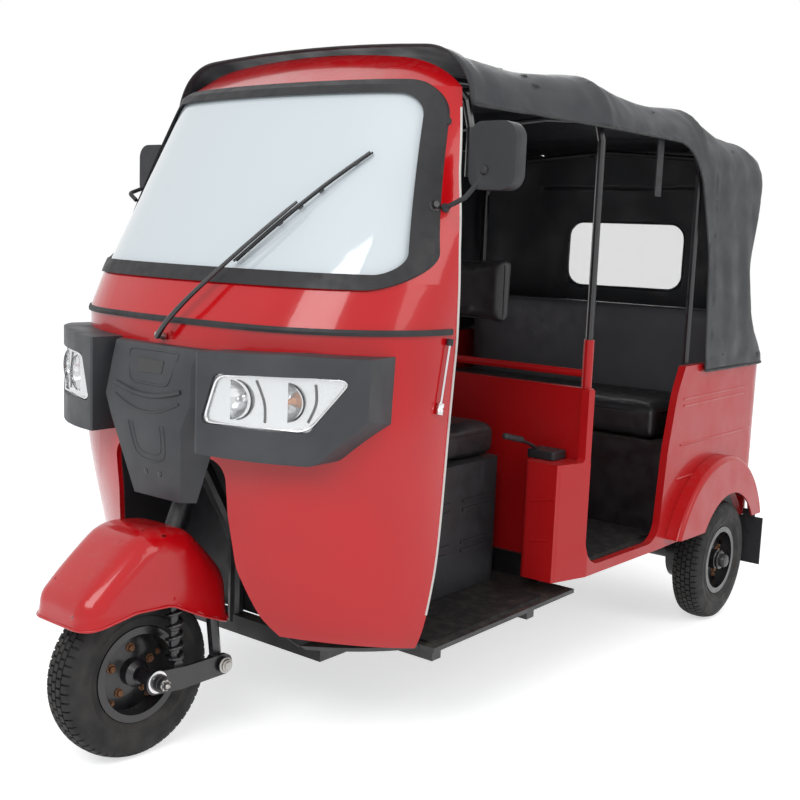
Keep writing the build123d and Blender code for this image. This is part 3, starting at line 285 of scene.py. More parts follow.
def bump(material, value, depth_mm, strength=1.0):
    """Raise the surface by value, on top of any bump that is there already."""
    nodes, links = material.node_tree.nodes, material.node_tree.links
    shader = nodes["Principled BSDF"]
    relief = nodes.new("ShaderNodeBump")
    relief.inputs["Strength"].default_value = strength
    relief.inputs["Distance"].default_value = depth_mm / 1000
    links.new(value, relief.inputs["Height"])
    if shader.inputs["Normal"].links:
        links.new(shader.inputs["Normal"].links[0].from_socket, relief.inputs["Normal"])
    links.new(relief.outputs["Normal"], shader.inputs["Normal"])


def upward(material):
    """How far a face looks up: where dust settles."""
    nodes, links = material.node_tree.nodes, material.node_tree.links
    geometry = nodes.new("ShaderNodeNewGeometry")
    split = nodes.new("ShaderNodeSeparateXYZ")
    links.new(geometry.outputs["Normal"], split.inputs[0])
    return split.outputs["Z"]


def times(material, first, second):
    nodes, links = material.node_tree.nodes, material.node_tree.links
    product = nodes.new("ShaderNodeMath")
    product.operation = "MULTIPLY"
    links.new(first, product.inputs[0])
    links.new(second, product.inputs[1])
    return product.outputs[0]


print("helpers for finishes ready")

# %% [markdown]
# ### Red paint
# Pressed steel panels in a clear-coated red. Real paint on thin sheet is never flat: it has a fine
# orange peel, the sheet itself waves a little, and dust lies on what looks up. The tub behind has
# thinner paint, so it is duller.

# %% Red paints
def red_paint(name, colour, roughness, coat, wave_mm):
    paint = finish(name, colour, roughness, specular=0.25, coat=coat, coat_roughness=0.06)
    blend_colour(paint, noise_of(paint, 2.4, 2), tuple(c * 0.72 for c in colour), 0.5)
    dust = times(paint, noise_of(paint, 38, 6), upward(paint))
    blend_colour(paint, dust, (0.42, 0.22, 0.2), 0.2, 0.4, 0.8)
    vary_roughness(paint, noise_of(paint, 9, 5), roughness * 0.8, roughness * 1.35)
    bump(paint, noise_of(paint, 5, 1), wave_mm, 0.5)
    bump(paint, noise_of(paint, 520, 1), 0.05, 0.25)
    return paint


GLOSS_RED = red_paint("gloss_red_paint", (0.60, 0.004, 0.008), 0.2, 0.55, 3.0)
TUB_RED = red_paint("tub_red_paint", (0.50, 0.008, 0.010), 0.34, 0.3, 4.0)
print("red paints:", GLOSS_RED.name, TUB_RED.name)

# %% [markdown]
# ### Black plastics, paints and metals
# Moulded plastic has a fine pebbled grain and turns grey where it is rubbed. Black paint on chassis
# tubes carries road dust low down. Bolts are left bare and rust.

# %% Blacks and metals
COWL_PLASTIC = finish("cowl_grained_plastic", (0.040, 0.043, 0.048), 0.5, specular=0.42)
vary_roughness(COWL_PLASTIC, noise_of(COWL_PLASTIC, 14, 6), 0.42, 0.6)
blend_colour(COWL_PLASTIC, noise_of(COWL_PLASTIC, 6, 5), (0.075, 0.078, 0.084), 0.6)
bump(COWL_PLASTIC, cells_of(COWL_PLASTIC, 900), 0.12, 0.35)

# Near-black moulded plastic for the boxes, dashboard and mirrors. On the front wheel well, a red-painted
# recess, the same near-black is painted shade.
DARK_PLASTIC_AND_WELL_SHADE = finish("dark_plastic_and_well_shade", (0.022, 0.023, 0.026), 0.5, specular=0.4)
vary_roughness(DARK_PLASTIC_AND_WELL_SHADE, noise_of(DARK_PLASTIC_AND_WELL_SHADE, 22, 5), 0.38, 0.62)
blend_colour(DARK_PLASTIC_AND_WELL_SHADE, times(DARK_PLASTIC_AND_WELL_SHADE, noise_of(DARK_PLASTIC_AND_WELL_SHADE, 60, 6), upward(DARK_PLASTIC_AND_WELL_SHADE)),
             (0.11, 0.105, 0.1), 0.4, 0.35, 0.8)
bump(DARK_PLASTIC_AND_WELL_SHADE, cells_of(DARK_PLASTIC_AND_WELL_SHADE, 700), 0.15, 0.35)

CHASSIS_BLACK = finish("chassis_black_paint", (0.014, 0.014, 0.016), 0.38, coat=0.2, coat_roughness=0.25)
vary_roughness(CHASSIS_BLACK, noise_of(CHASSIS_BLACK, 24, 6), 0.3, 0.6)
blend_colour(CHASSIS_BLACK, times(CHASSIS_BLACK, noise_of(CHASSIS_BLACK, 45, 7), upward(CHASSIS_BLACK)),
             (0.13, 0.11, 0.09), 0.6, 0.3, 0.8)
bump(CHASSIS_BLACK, noise_of(CHASSIS_BLACK, 260, 2), 0.12, 0.3)

SATIN_BLACK = finish("satin_black_paint", (0.012, 0.012, 0.014), 0.3, coat=0.5, coat_roughness=0.15)
vary_roughness(SATIN_BLACK, noise_of(SATIN_BLACK, 30, 5), 0.24, 0.45)
bump(SATIN_BLACK, noise_of(SATIN_BLACK, 300, 1), 0.06, 0.3)

BRIGHT_METAL = finish("bright_chrome", (0.72, 0.72, 0.73), 0.12, metallic=1.0)
vary_roughness(BRIGHT_METAL, noise_of(BRIGHT_METAL, 60, 6), 0.08, 0.24)

MACHINED_STEEL = finish("machined_steel", (0.45, 0.44, 0.42), 0.32, metallic=1.0)
vary_roughness(MACHINED_STEEL, noise_of(MACHINED_STEEL, 180, 4, (8, 1, 1)), 0.25, 0.5)
blend_colour(MACHINED_STEEL, noise_of(MACHINED_STEEL, 40, 6), (0.24, 0.17, 0.12), 0.5, 0.5, 0.75)

RUSTY_BOLT = finish("rusted_bolt", (0.20, 0.085, 0.040), 0.7, metallic=0.4)
blend_colour(RUSTY_BOLT, noise_of(RUSTY_BOLT, 160, 6), (0.34, 0.19, 0.10), 0.8, 0.4, 0.7)
vary_roughness(RUSTY_BOLT, noise_of(RUSTY_BOLT, 120, 5), 0.5, 0.85)
bump(RUSTY_BOLT, noise_of(RUSTY_BOLT, 420, 5), 0.25, 0.8)

CAST_METAL = finish("cast_engine_metal", (0.16, 0.16, 0.165), 0.6, metallic=0.7)
blend_colour(CAST_METAL, noise_of(CAST_METAL, 18, 7), (0.05, 0.045, 0.04), 0.7)
bump(CAST_METAL, noise_of(CAST_METAL, 300, 4), 0.4, 0.7)
print("black and metal finishes ready")

# %% [markdown]
# ### Rubber, leather, canopy cloth, glass and lamps
# The canopy is coated cloth: a fine weave pressed through a soft film, with long shallow creases.
# Leathercloth on the seats has a pebble grain. The windscreen is an opaque pale blue-white sheet, a
# painted reflection of a bright sky, while the rear window is a clear sheet.

# %% Soft and clear finishes
RUBBER = finish("black_rubber", (0.022, 0.022, 0.024), 0.55, specular=0.4)
vary_roughness(RUBBER, noise_of(RUBBER, 35, 5), 0.45, 0.68)
bump(RUBBER, noise_of(RUBBER, 200, 3), 0.1, 0.4)

TYRE_RUBBER = finish("tyre_rubber", (0.020, 0.020, 0.021), 0.72, specular=0.35)
blend_colour(TYRE_RUBBER, noise_of(TYRE_RUBBER, 16, 6), (0.070, 0.064, 0.056), 0.55, 0.4, 0.75)
vary_roughness(TYRE_RUBBER, noise_of(TYRE_RUBBER, 30, 5), 0.6, 0.85)
bump(TYRE_RUBBER, noise_of(TYRE_RUBBER, 260, 4), 0.2, 0.5)

LEATHER = finish("black_leathercloth", (0.020, 0.020, 0.022), 0.38, specular=0.5)
vary_roughness(LEATHER, noise_of(LEATHER, 26, 5), 0.3, 0.5)
bump(LEATHER, cells_of(LEATHER, 380), 0.3, 0.5)
bump(LEATHER, noise_of(LEATHER, 14, 4), 1.4, 0.35)

BOARD_LEATHER = finish("grey_back_board", (0.085, 0.088, 0.095), 0.55, specular=0.4)
vary_roughness(BOARD_LEATHER, noise_of(BOARD_LEATHER, 22, 5), 0.45, 0.65)
blend_colour(BOARD_LEATHER, noise_of(BOARD_LEATHER, 5, 4), (0.060, 0.062, 0.067), 0.6)
bump(BOARD_LEATHER, cells_of(BOARD_LEATHER, 420), 0.25, 0.4)

CANOPY_CLOTH = finish("canopy_coated_cloth", (0.024, 0.026, 0.031), 0.5, specular=0.45)
vary_roughness(CANOPY_CLOTH, noise_of(CANOPY_CLOTH, 12, 6), 0.42, 0.62)
blend_colour(CANOPY_CLOTH, times(CANOPY_CLOTH, noise_of(CANOPY_CLOTH, 24, 7), upward(CANOPY_CLOTH)),
             (0.10, 0.102, 0.108), 0.45, 0.3, 0.8)
bump(CANOPY_CLOTH, cells_of(CANOPY_CLOTH, 620), 0.22, 0.4)
bump(CANOPY_CLOTH, noise_of(CANOPY_CLOTH, 7, 3), 3.0, 0.35)

MAT_RUBBER = finish("ribbed_floor_mat", (0.012, 0.012, 0.013), 0.6, specular=0.4)
blend_colour(MAT_RUBBER, noise_of(MAT_RUBBER, 40, 7), (0.08, 0.072, 0.062), 0.5, 0.45, 0.75)
bump(MAT_RUBBER, cells_of(MAT_RUBBER, 160), 0.8, 0.8)

# Opaque pale blue-white windscreen: a painted sky reflection, not the colour of the glass itself.
WINDSCREEN_PAINTED_SKY = finish("windscreen_painted_sky_reflection", (0.70, 0.77, 0.80), 0.05, specular=0.6, coat=0.6)
screen_shader = WINDSCREEN_PAINTED_SKY.node_tree.nodes["Principled BSDF"]
screen_shader.inputs["Alpha"].default_value = 1.0
CLEAR_SHEET = finish("clear_window_sheet", (0.92, 0.94, 0.94), 0.06, specular=0.3)
CLEAR_SHEET.node_tree.nodes["Principled BSDF"].inputs["Alpha"].default_value = 0.18
LENS_CLEAR = finish("clear_lamp_lens", (0.95, 0.96, 0.96), 0.03, specular=0.5)
LENS_CLEAR.node_tree.nodes["Principled BSDF"].inputs["Alpha"].default_value = 0.14
REFLECTOR = finish("lamp_reflector", (0.78, 0.79, 0.8), 0.16, metallic=1.0)
vary_roughness(REFLECTOR, noise_of(REFLECTOR, 30, 3), 0.1, 0.22)
AMBER = finish("amber_bulb", (0.9, 0.30, 0.02), 0.15, specular=0.5)
RED_LENS = finish("red_lamp_lens", (0.42, 0.008, 0.010), 0.1, specular=0.5, coat=0.6)
bump(RED_LENS, cells_of(RED_LENS, 260), 0.8, 0.7)
MIRROR_GLASS = finish("mirror_glass", (0.8, 0.82, 0.83), 0.04, metallic=1.0)
PIPING_WHITE = finish("white_edge_piping", (0.68, 0.67, 0.64), 0.35, specular=0.5)
vary_roughness(PIPING_WHITE, noise_of(PIPING_WHITE, 90, 4), 0.25, 0.5)
print("finishes in all:", len(bpy.data.materials))

# %% [markdown]
# ## Dressing the solids
# One table names the finish of each solid. Their slots are filled, their meshes are never changed.

# %% Give every solid its finish
DRESS = {
    "front_fascia": GLOSS_RED, "front_mudguard": GLOSS_RED, "windscreen": WINDSCREEN_PAINTED_SKY,
    "side_panel_left": TUB_RED, "side_panel_right": TUB_RED, "rear_panel": TUB_RED, "rear_door": TUB_RED,
    "rear_fenders": TUB_RED, "partition": TUB_RED, "rubber_trims": RUBBER, "front_cowl": COWL_PLASTIC,
    # The front wheel well is a red-painted recess; its near-black finish is painted shade.
    "front_wheel_well": DARK_PLASTIC_AND_WELL_SHADE, "underseat_box": DARK_PLASTIC_AND_WELL_SHADE, "dashboard": DARK_PLASTIC_AND_WELL_SHADE,
    "headlamps": REFLECTOR, "headlamp_lenses": LENS_CLEAR, "wiper": SATIN_BLACK, "mirrors": DARK_PLASTIC_AND_WELL_SHADE,
    "floor_pan": CHASSIS_BLACK, "floor_mats": MAT_RUBBER, "chassis_frame": CHASSIS_BLACK,
    "engine": CAST_METAL, "exhaust": MACHINED_STEEL, "rear_axle": CHASSIS_BLACK,
    "leaf_springs": CHASSIS_BLACK, "canopy_frame": SATIN_BLACK, "canopy": CANOPY_CLOTH,
    "rear_window": CLEAR_SHEET, "driver_cushions": LEATHER, "passenger_cushions": LEATHER,
    "mudflaps": RUBBER, "tail_lamps": RED_LENS, "wheel_arch_linings": CHASSIS_BLACK, "hand_straps": RUBBER,
    "steering_column": CHASSIS_BLACK, "handlebar": SATIN_BLACK, "handlebar_grips": RUBBER,
    "front_fork": SATIN_BLACK, "front_link": SATIN_BLACK, "front_springs": SATIN_BLACK,
    "front_tyre": TYRE_RUBBER, "rear_left_tyre": TYRE_RUBBER, "rear_right_tyre": TYRE_RUBBER,
    "front_rim": SATIN_BLACK, "rear_left_rim": SATIN_BLACK, "rear_right_rim": SATIN_BLACK,
}
solids = {}
for name in frame["nodes"]:
    solid = bpy.data.objects[name]
    solids[name] = solid
    for holder in [solid] + list(solid.children):
        if holder.type != "MESH":
            continue
        if not holder.material_slots:
            holder.data.materials.append(DRESS[name])
        for held in holder.material_slots:
            held.link = "OBJECT"
            held.material = DRESS[name]
print("dressed", len(solids), "solids")

# %% [markdown]
# ## Small shapes used again and again
# Bolts, bushes and hubs are all turned shapes: a profile of (distance along the axis, radius) spun about
# an axis. Bars and piping are curves with a round bevel. Plates are outlines with a thickness and a
# rounded edge. Shapes are first plain lists of points and faces, so that a ring of bolts becomes one piece.

# %% Helpers for shapes
def dress(piece, material, body="body"):
    piece.data.materials.append(material)
    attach(piece, body)
    return piece


def turned(profile, place, axis, steps=24):
    """Points and faces of a profile [(along, radius)] in mm, spun about an axis."""
    turn = Vector(axis).to_track_quat("Z", "Y")
    points, faces = [], []
    for along, radius in profile:
        for step in range(steps):
            angle = 2 * pi * step / steps
            local = Vector((radius * cos(angle), radius * sin(angle), along)) / 1000
            points.append(Vector(place) + turn @ local)
    for ring in range(len(profile) - 1):
        for step in range(steps):
            low, side = ring * steps + step, ring * steps + (step + 1) % steps
            faces.append((low, side, side + steps, low + steps))
    last = (len(profile) - 1) * steps
    faces.append(tuple(range(steps))[::-1])
    faces.append(tuple(last + step for step in range(steps)))
    return points, faces


def hex_bolt(place, axis, across=13, height=6, washer=True):
    """Hexagon head with a slightly domed top on its washer."""
    radius = across / sqrt(3)
    shapes = []
    if washer:
        disc = [(-1, radius * 1.35), (1.6, radius * 1.35), (2.0, radius * 1.2)]
        shapes.append(turned(disc, place, axis, 20))
    head = [(1.6, radius), (height + 0.6, radius), (height + 1.8, radius * 0.86)]
    head.append((height + 2.1, radius * 0.3))
    shapes.append(turned(head, place, axis, 6))
    return gathered(shapes)


def gathered(shapes):
    points, faces = [], []
    for more_points, more_faces in shapes:
        start = len(points)
        points += more_points
        faces += [tuple(index + start for index in face) for face in more_faces]
    return points, faces


def crisp(piece, degrees=35):
    """Smooth shading that stays sharp at real edges."""
    mesh = piece.data
    mesh.shade_smooth()
    work = bmesh.new()
    work.from_mesh(mesh)
    for edge in work.edges:
        edge.smooth = len(edge.link_faces) == 2 and edge.calc_face_angle(0) < radians(degrees)
    work.to_mesh(mesh)
    work.free()
    return piece


def piece_from(name, shapes, material, body="body", degrees=35):
    points, faces = gathered(shapes)
    return dress(crisp(mesh_from(name, points, faces), degrees), material, body)


def bar(name, points, radius_mm, material, body="body", closed=False, bend=3):
    """Round bar, piping or cable along points, its bends rounded by the spline."""
    curve = bpy.data.curves.new(name, "CURVE")
    curve.dimensions = "3D"
    spline = curve.splines.new("NURBS")
    spline.points.add(len(points) - 1)
    for held, place in zip(spline.points, points):
        held.co = (*place, 1)
    spline.order_u = bend
    spline.use_endpoint_u = not closed
    spline.use_cyclic_u = closed
    spline.resolution_u = 6
    curve.bevel_depth = radius_mm / 1000
    curve.bevel_resolution = 3
    curve.use_fill_caps = True
    return dress(new_object(name, curve), material, body)


def plate(name, outline_mm, origin, across, up, thickness_mm, material, body="body", edge_mm=1.2, steps=3):
    """Flat plate: an outline in its own plane, with a thickness and a rounded edge."""
    across, up = Vector(across).normalized(), Vector(up).normalized()
    normal = across.cross(up).normalized()
    count = len(outline_mm)
    points = []
    for depth in (0, thickness_mm):
        for u, v in outline_mm:
            points.append(Vector(origin) + (across * u + up * v + normal * depth) / 1000)
    faces = [tuple(range(count))[::-1], tuple(range(count, 2 * count))]
    for index in range(count):
        after = (index + 1) % count
        faces.append((index, after, after + count, index + count))
    piece = mesh_from(name, points, faces)
    rounding = piece.modifiers.new("rounded_edge", "BEVEL")
    rounding.width, rounding.segments, rounding.limit_method = edge_mm / 1000, steps, "ANGLE"
    rounding.angle_limit = radians(30)
    rounding.harden_normals = True
    return dress(piece, material, body)


def rounded_outline(corners, radius, steps=5):
    """Outline with every corner rounded, from a few corner points in mm."""
    result = []
    count = len(corners)
    for index, corner in enumerate(corners):
        here = Vector(corner)
        back = Vector(corners[index - 1]) - here
        ahead = Vector(corners[(index + 1) % count]) - here
        reach = min(radius, back.length / 2.1, ahead.length / 2.1)
        start, end = here + back.normalized() * reach, here + ahead.normalized() * reach
        for step in range(steps + 1):
            share = step / steps
            result.append(tuple((1 - share) ** 2 * start + 2 * share * (1 - share) * here + share ** 2 * end))
    return result


print("shape helpers ready")

# %% [markdown]
# ## Landing pieces on the body
# Many small parts were placed by where they show in the photograph. `seen` sends a ray from the camera
# through a pixel and returns where it meets a solid and which way the surface looks there. `onto` does
# the same from any point and direction.

# %% Rays onto the solids
FOCAL_PX = 1148.467
trees = {}


def tree_from(mesh):
    corners = [point.co for point in mesh.vertices]
    return BVHTree.FromPolygons(corners, [tuple(face.vertices) for face in mesh.polygons])


def tree_of(node):
    if node not in trees:
        trees[node] = tree_from(solids[node].data)
    return trees[node]


def onto(node, start, direction, lift_mm=0.0):
    place, normal, index, distance = tree_of(node).ray_cast(Vector(start), Vector(direction).normalized())
    if place is None:
        raise ValueError(f"no {node} on the ray from {tuple(start)}")
    if normal.dot(Vector(direction)) > 0:
        normal = -normal
    return place + normal * lift_mm / 1000, normal


def seen(px, py, node, lift_mm=0.0):
    aim = camera.rotation_euler.to_matrix() @ Vector(((px - 400) / FOCAL_PX, (400 - py) / FOCAL_PX, -1))
    return onto(node, camera.location, aim, lift_mm)


nose_point = seen(300, 480, "front_fascia")[0]
print("nose seen at", [round(v, 3) for v in nose_point])

# %% [markdown]
# ## The canopy
# On the real vehicle one coated cloth is pulled over four steel hoops and tied down behind. It is taut,
# so between the hoops it sags a little, over each hoop it shows a ridge, and at the rear corners it
# falls in folds to a hem that hangs over the tub. The solid has the same outer shape, so the sheet starts
# as a copy of the solid's outer faces. It is cut into a fine grid, smoothed, and then moved point by point.

# %% Take the outer skin of the canopy solid
GRID = 0.021
CLOTH_MM = 2.4
hood_solid = solids["canopy"].data


def hood_heart(place):
    """A line inside the hood that its outer faces look away from."""
    return Vector((0, min(max(place.y, at(0, 700, 0).y), at(0, 2050, 0).y), 1.15))


hood_tree = tree_of("canopy")
hood = bmesh.new()
hood.from_mesh(hood_solid)
outer_faces = []
for face in hood.faces:
    centre = face.calc_center_median()
    if face.normal.dot(centre - hood_heart(centre)) <= 0:
        continue
    behind = hood_tree.ray_cast(centre - face.normal * 0.001, -face.normal, 0.02)
    if behind[0] is not None and 0.003 < behind[3] < 0.014:
        outer_faces.append(face)
keep = set(outer_faces)
bmesh.ops.delete(hood, geom=[face for face in hood.faces if face not in keep], context="FACES")
bmesh.ops.remove_doubles(hood, verts=hood.verts, dist=0.0002)
hood_low, hood_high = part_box("canopy")
print("outer faces:", len(hood.faces))

# %% Cut it into a grid and smooth it
for axis in range(3):
    normal = Vector((0, 0, 0))
    normal[axis] = 1
    station = hood_low[axis] + GRID
    while station < hood_high[axis] - GRID / 2:
        spot = Vector((0, 0, 0))
        spot[axis] = station
        if axis < 2 or station < 1.62:
            bmesh.ops.bisect_plane(hood, geom=hood.verts[:] + hood.edges[:] + hood.faces[:], dist=1e-5,
                                   plane_co=spot, plane_no=normal)
        station += GRID
bmesh.ops.remove_doubles(hood, verts=hood.verts, dist=0.0025)


def relax(work, times_over):
    """Smooth every point but those on an edge, which stay where they are."""
    inner = [point for point in work.verts if not point.is_boundary]
    for _ in range(times_over):
        bmesh.ops.smooth_vert(work, verts=inner, factor=0.5,
                              use_axis_x=True, use_axis_y=True, use_axis_z=True)
    work.normal_update()


relax(hood, 14)
print("hood points:", len(hood.verts))

# %% [markdown]
# ### Sag, ridges and folds
# Every point moves along its own normal by a sum of small effects, each a plain function of where the
# point is: the sag between two hoops, a ridge over each hoop, the doubled seam behind the door opening,
# folds at the rear corners that grow towards the hem, and the thicker hems.

# %% Move the cloth
HOOP_STATIONS = [628, 1178, 1800, 2262]
SEAM_Y = 1880
HEM_BAND = 0.034


def near(value, centre, width):
    return exp(-((value - centre) / width) ** 2)


def sag_at(y_mm):
    for first, second in zip(HOOP_STATIONS, HOOP_STATIONS[1:]):
        if first <= y_mm <= second:
            return sin(pi * (y_mm - first) / (second - first))
    return 0.0


def cloth_offset(place, normal):
    """How far the cloth stands off the solid's skin, in mm."""
    y = (place.y - axle_y) * 1000
    x = abs(place.x) * 1000
    z = place.z * 1000
    roof = max(0.0, min(1.0, (z - 1560) / 120))
    wall = 1 - roof
    offset = -15 * sag_at(y) * roof * (1 - 0.4 * near(x, 0, 260))
    for hoop_y in HOOP_STATIONS:
        offset += 4.5 * near(y, hoop_y, 20) * roof
        offset -= 1.6 * near(abs(y - hoop_y), 46, 16) * roof
    rear = max(0.0, min(1.0, (y - 1800) / 160))
    offset += rear * wall * (2.2 * sin(y / 23 + z / 160) + 2.0 * sin(x / 41 + z / 90))
    low = max(0.0, min(1.0, (1250 - z) / 330))
    offset += rear * low * 3.0 * sin((y * 0.8 - x * 0.6) / 27)
    offset -= 3.2 * near(y, SEAM_Y, 4.5) * wall * (1 if x > 520 else 0)
    offset += 1.2 * near(abs(y - SEAM_Y), 13, 6) * wall * (1 if x > 520 else 0)
    offset += 1.6 * sin(x / 70 + y / 95) * sin(y / 60) * roof
    return min(offset, 4.0)


for point in hood.verts:
    offset = cloth_offset(point.co, point.normal)
    hem = point.co.z < hood_low[2] + HEM_BAND or point.co.y < hood_low[1] + HEM_BAND
    if hem:
        offset = 3.0
    elif point.is_boundary:
        offset = 1.0
    point.co += point.normal * offset / 1000
hood.normal_update()
hood_area = sum(face.calc_area() for face in hood.faces)
hood_mesh = bpy.data.meshes.new("canopy_sheet")
hood.to_mesh(hood_mesh)
hood_mesh.shade_smooth()
canopy_sheet = new_object("canopy_sheet", hood_mesh)
thickness = canopy_sheet.modifiers.new("cloth_thickness", "SOLIDIFY")
thickness.thickness, thickness.offset = CLOTH_MM / 1000, -1
dress(canopy_sheet, CANOPY_CLOTH)
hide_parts("canopy")
print("canopy cloth:", round(hood_area, 3), "square metres,", len(hood_mesh.polygons), "faces")

# %% [markdown]
# ### Piping
# The cut edge of the cloth is bound with a round piping all the way along.

# %% Bind the edges
def boundary_loops(work):
    edges = {edge for edge in work.edges if edge.is_boundary}
    loops = []
    while edges:
        edge = edges.pop()
        loop = [edge.verts[0], edge.verts[1]]
        while True:
            onward = [e for e in loop[-1].link_edges if e in edges]
            if not onward:
                break
            edges.discard(onward[0])
            loop.append(onward[0].other_vert(loop[-1]))
        loops.append([point.co.copy() for point in loop])
    return loops


edge_loops = [loop for loop in boundary_loops(hood) if len(loop) > 12]
hood.free()
for number, loop in enumerate(sorted(edge_loops, key=len, reverse=True)):
    closed = (loop[0] - loop[-1]).length < 0.03
    thinned = loop[:-1:2] if closed else loop[::2] + [loop[-1]]
    bar(f"canopy_binding_{number}", thinned, 3.6, RUBBER, closed=closed)
print("bound edges:", [len(loop) for loop in edge_loops])

# %% [markdown]
# ## Tyres
# A 4.00-8 tyre has a round shoulder and a tread of small blocks in five rows. The solid is a plain ring,
# so each tyre gets a ring of its own: one profile with its grooves, spun in steps that also cut the cross
# grooves. Every second row is turned by half a block, which gives the zigzag seen in the photograph.

# %% Treaded tyres
TYRE_R = 208
TREAD_HALF = 40
GROOVE_DEPTH = 6.5
PITCHES = 58
CROSS_STEPS = ((0.0, 0), (0.76, 0), (0.82, 1), (0.95, 1))
ROW_EDGES = (-40, -24.5, -8, 8, 24.5, 40)
GROOVE_HALF = 1.7
SIDE_PROFILE = (
    (36, 117), (41, 119), (46, 127), (49, 137), (51.2, 140), (51.4, 144), (49.8, 147), (50.8, 158),
    (51.6, 162), (51.6, 166), (50.2, 169), (49.4, 178), (47.2, 186), (44.5, 193),
)


def crown(x):
    return TYRE_R - 8 * (abs(x) / TREAD_HALF) ** 2.4


def tyre_profile():
    """(x, radius, row) from one bead to the other; row -1 takes no cross groove."""
    profile = [(-x, radius, -1) for x, radius in SIDE_PROFILE]
    for row, (left, right) in enumerate(zip(ROW_EDGES, ROW_EDGES[1:])):
        start = left + (GROOVE_HALF if row else 0)
        end = right - (GROOVE_HALF if row < 4 else 0)
        profile += [(x, crown(x), row) for x in (start, (start + end) / 2, end)]
        if row < 4:
            for x in (right - GROOVE_HALF * 0.6, right + GROOVE_HALF * 0.6):
                profile.append((x, crown(x) - GROOVE_DEPTH, -1))
    return profile + [(x, radius, -1) for x, radius in reversed(SIDE_PROFILE)]


def treaded_tyre(name, centre, axis, node, body):
    turn = Vector(axis).to_track_quat("Z", "Y")
    profile = tyre_profile()
    rings = len(profile)
    points, faces = [], []
    for pitch in range(PITCHES):
        for share, cut in CROSS_STEPS:
            for x, radius, row in profile:
                shift = 0.5 if row >= 0 and row % 2 else 0.0
                angle = 2 * pi * (pitch + share + shift) / PITCHES
                deep = GROOVE_DEPTH * 0.85 if cut and row >= 0 else 0
                spot = Vector(((radius - deep) * cos(angle), (radius - deep) * sin(angle), x)) / 1000
                points.append(Vector(centre) + turn @ spot)
    steps = PITCHES * len(CROSS_STEPS)
    for step in range(steps):
        here, after = step * rings, (step + 1) % steps * rings
        for ring in range(rings - 1):
            faces.append((here + ring, after + ring, after + ring + 1, here + ring + 1))
    tyre = piece_from(name, [(points, faces)], TYRE_RUBBER, body, 28)
    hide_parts(node)
    return tyre


STEER_AXIS = Vector((0, sin(radians(24)), cos(radians(24))))
STEER_REST = Matrix.Rotation(radians(-4), 3, STEER_AXIS)
STEER_FOOT = at(0, 130, 520)


def steered(x, y, z):
    """A place on the fork, drawn straight ahead and turned to where the wheel is parked."""
    return STEER_FOOT + STEER_REST @ (at(x, y, z) - STEER_FOOT)


def middle_of(node):
    low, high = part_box(node)
    return (Vector(low) + Vector(high)) / 2


LEFT = Vector((1, 0, 0))
front_axis = STEER_REST @ LEFT
wheels = (
    ("front", middle_of("front_tyre"), front_axis, "front_wheel"),
    ("rear_left", middle_of("rear_left_tyre"), LEFT, "rear_left_wheel"),
    ("rear_right", middle_of("rear_right_tyre"), -LEFT, "rear_right_wheel"),
)
for side, centre, axis, body in wheels:
    treaded_tyre(f"{side}_treaded_tyre", centre, axis, f"{side}_tyre", body)
print("tread blocks in each row:", PITCHES)

# %% [markdown]
# ### Wheel bolts and hubs
# The wheels are pressed discs held by bolts that have rusted. Each bolt is set down on its disc by a
# ray, so it sits on the steel wherever the disc happens to be dished.

# %% Bolts, valve and bearing caps
BOLT_CIRCLE = 58
BOLTS = 5
RIM_BOLT_CIRCLE = 88
for side, centre, axis, body in wheels:
    turn = axis.to_track_quat("Z", "Y")
    shapes, rim_shapes = [], []
    for index in range(BOLTS):
        angle = 2 * pi * (index + 0.25) / BOLTS
        spoke = turn @ Vector((cos(angle), sin(angle), 0))
        for circle, across, held in ((BOLT_CIRCLE, 15, shapes), (RIM_BOLT_CIRCLE, 10, rim_shapes)):
            start = centre + spoke * circle / 1000 + axis * 0.2
            spot, normal = onto(f"{side}_rim", start, -axis)
            held.append(hex_bolt(spot, axis, across, across * 0.55))
    piece_from(f"{side}_wheel_bolts", shapes, RUSTY_BOLT, body)
    piece_from(f"{side}_rim_bolts", rim_shapes, RUSTY_BOLT, body)
    valve_spoke = turn @ Vector((cos(2.6), sin(2.6), 0))
    foot, normal = onto(f"{side}_rim", centre + valve_spoke * 0.098 + axis * 0.2, -axis)
    stem = [(0, 5), (4, 4.6), (7, 3.4), (24, 3.2), (25, 4), (33, 4), (34, 3)]
    lean = (axis + valve_spoke * -0.35).normalized()
    piece_from(f"{side}_valve", [turned(stem, foot, lean, 14)], RUBBER, body)
    if side != "front":
        cap = [(0, 33), (5, 33), (8, 30), (9, 24), (22, 23), (27, 20), (29, 12), (29.5, 3)]
        hub_face, normal = onto(f"{side}_rim", centre + turn @ Vector((0.026, 0, 0)) + axis * 0.2, -axis)
        cap_foot = centre + axis * (hub_face - centre).dot(axis)
        cap_shape = turned(cap, cap_foot - axis * 0.002, axis, 28)
        piece_from(f"{side}_bearing_cap", [cap_shape], CHASSIS_BLACK, body)
print("bolts on each wheel:", 2 * BOLTS)

# %% [markdown]
# ### Front axle nut and suspension
# The axle ends in a bright ring, a black sleeve and a castellated nut. The springs
# are drawn as real coils: a helix for the curve, with a round bevel for the wire.

# %% Axle end
def castle_nut(place, axis, across, height):
    """Hexagon nut whose crown is cut by slots for a split pin."""
    base = hex_bolt(place, axis, across, height * 0.6, washer=False)
    turn = Vector(axis).to_track_quat("Z", "Y")
    teeth = []
    for tooth in range(6):
        angle = pi / 3 * (tooth + 0.5)
        spot = Vector(place) + turn @ Vector((cos(angle), sin(angle), 0)) * across * 0.36 / 1000
        teeth.append(turned([(height * 0.5, across * 0.14), (height, across * 0.14)],
                            spot, axis, 8))
    core_profile = [(0, across * 0.24), (height * 1.35, across * 0.24), (height * 1.45, across * 0.2)]
    core = turned(core_profile, place, axis, 16)
    return gathered([base, core] + teeth)


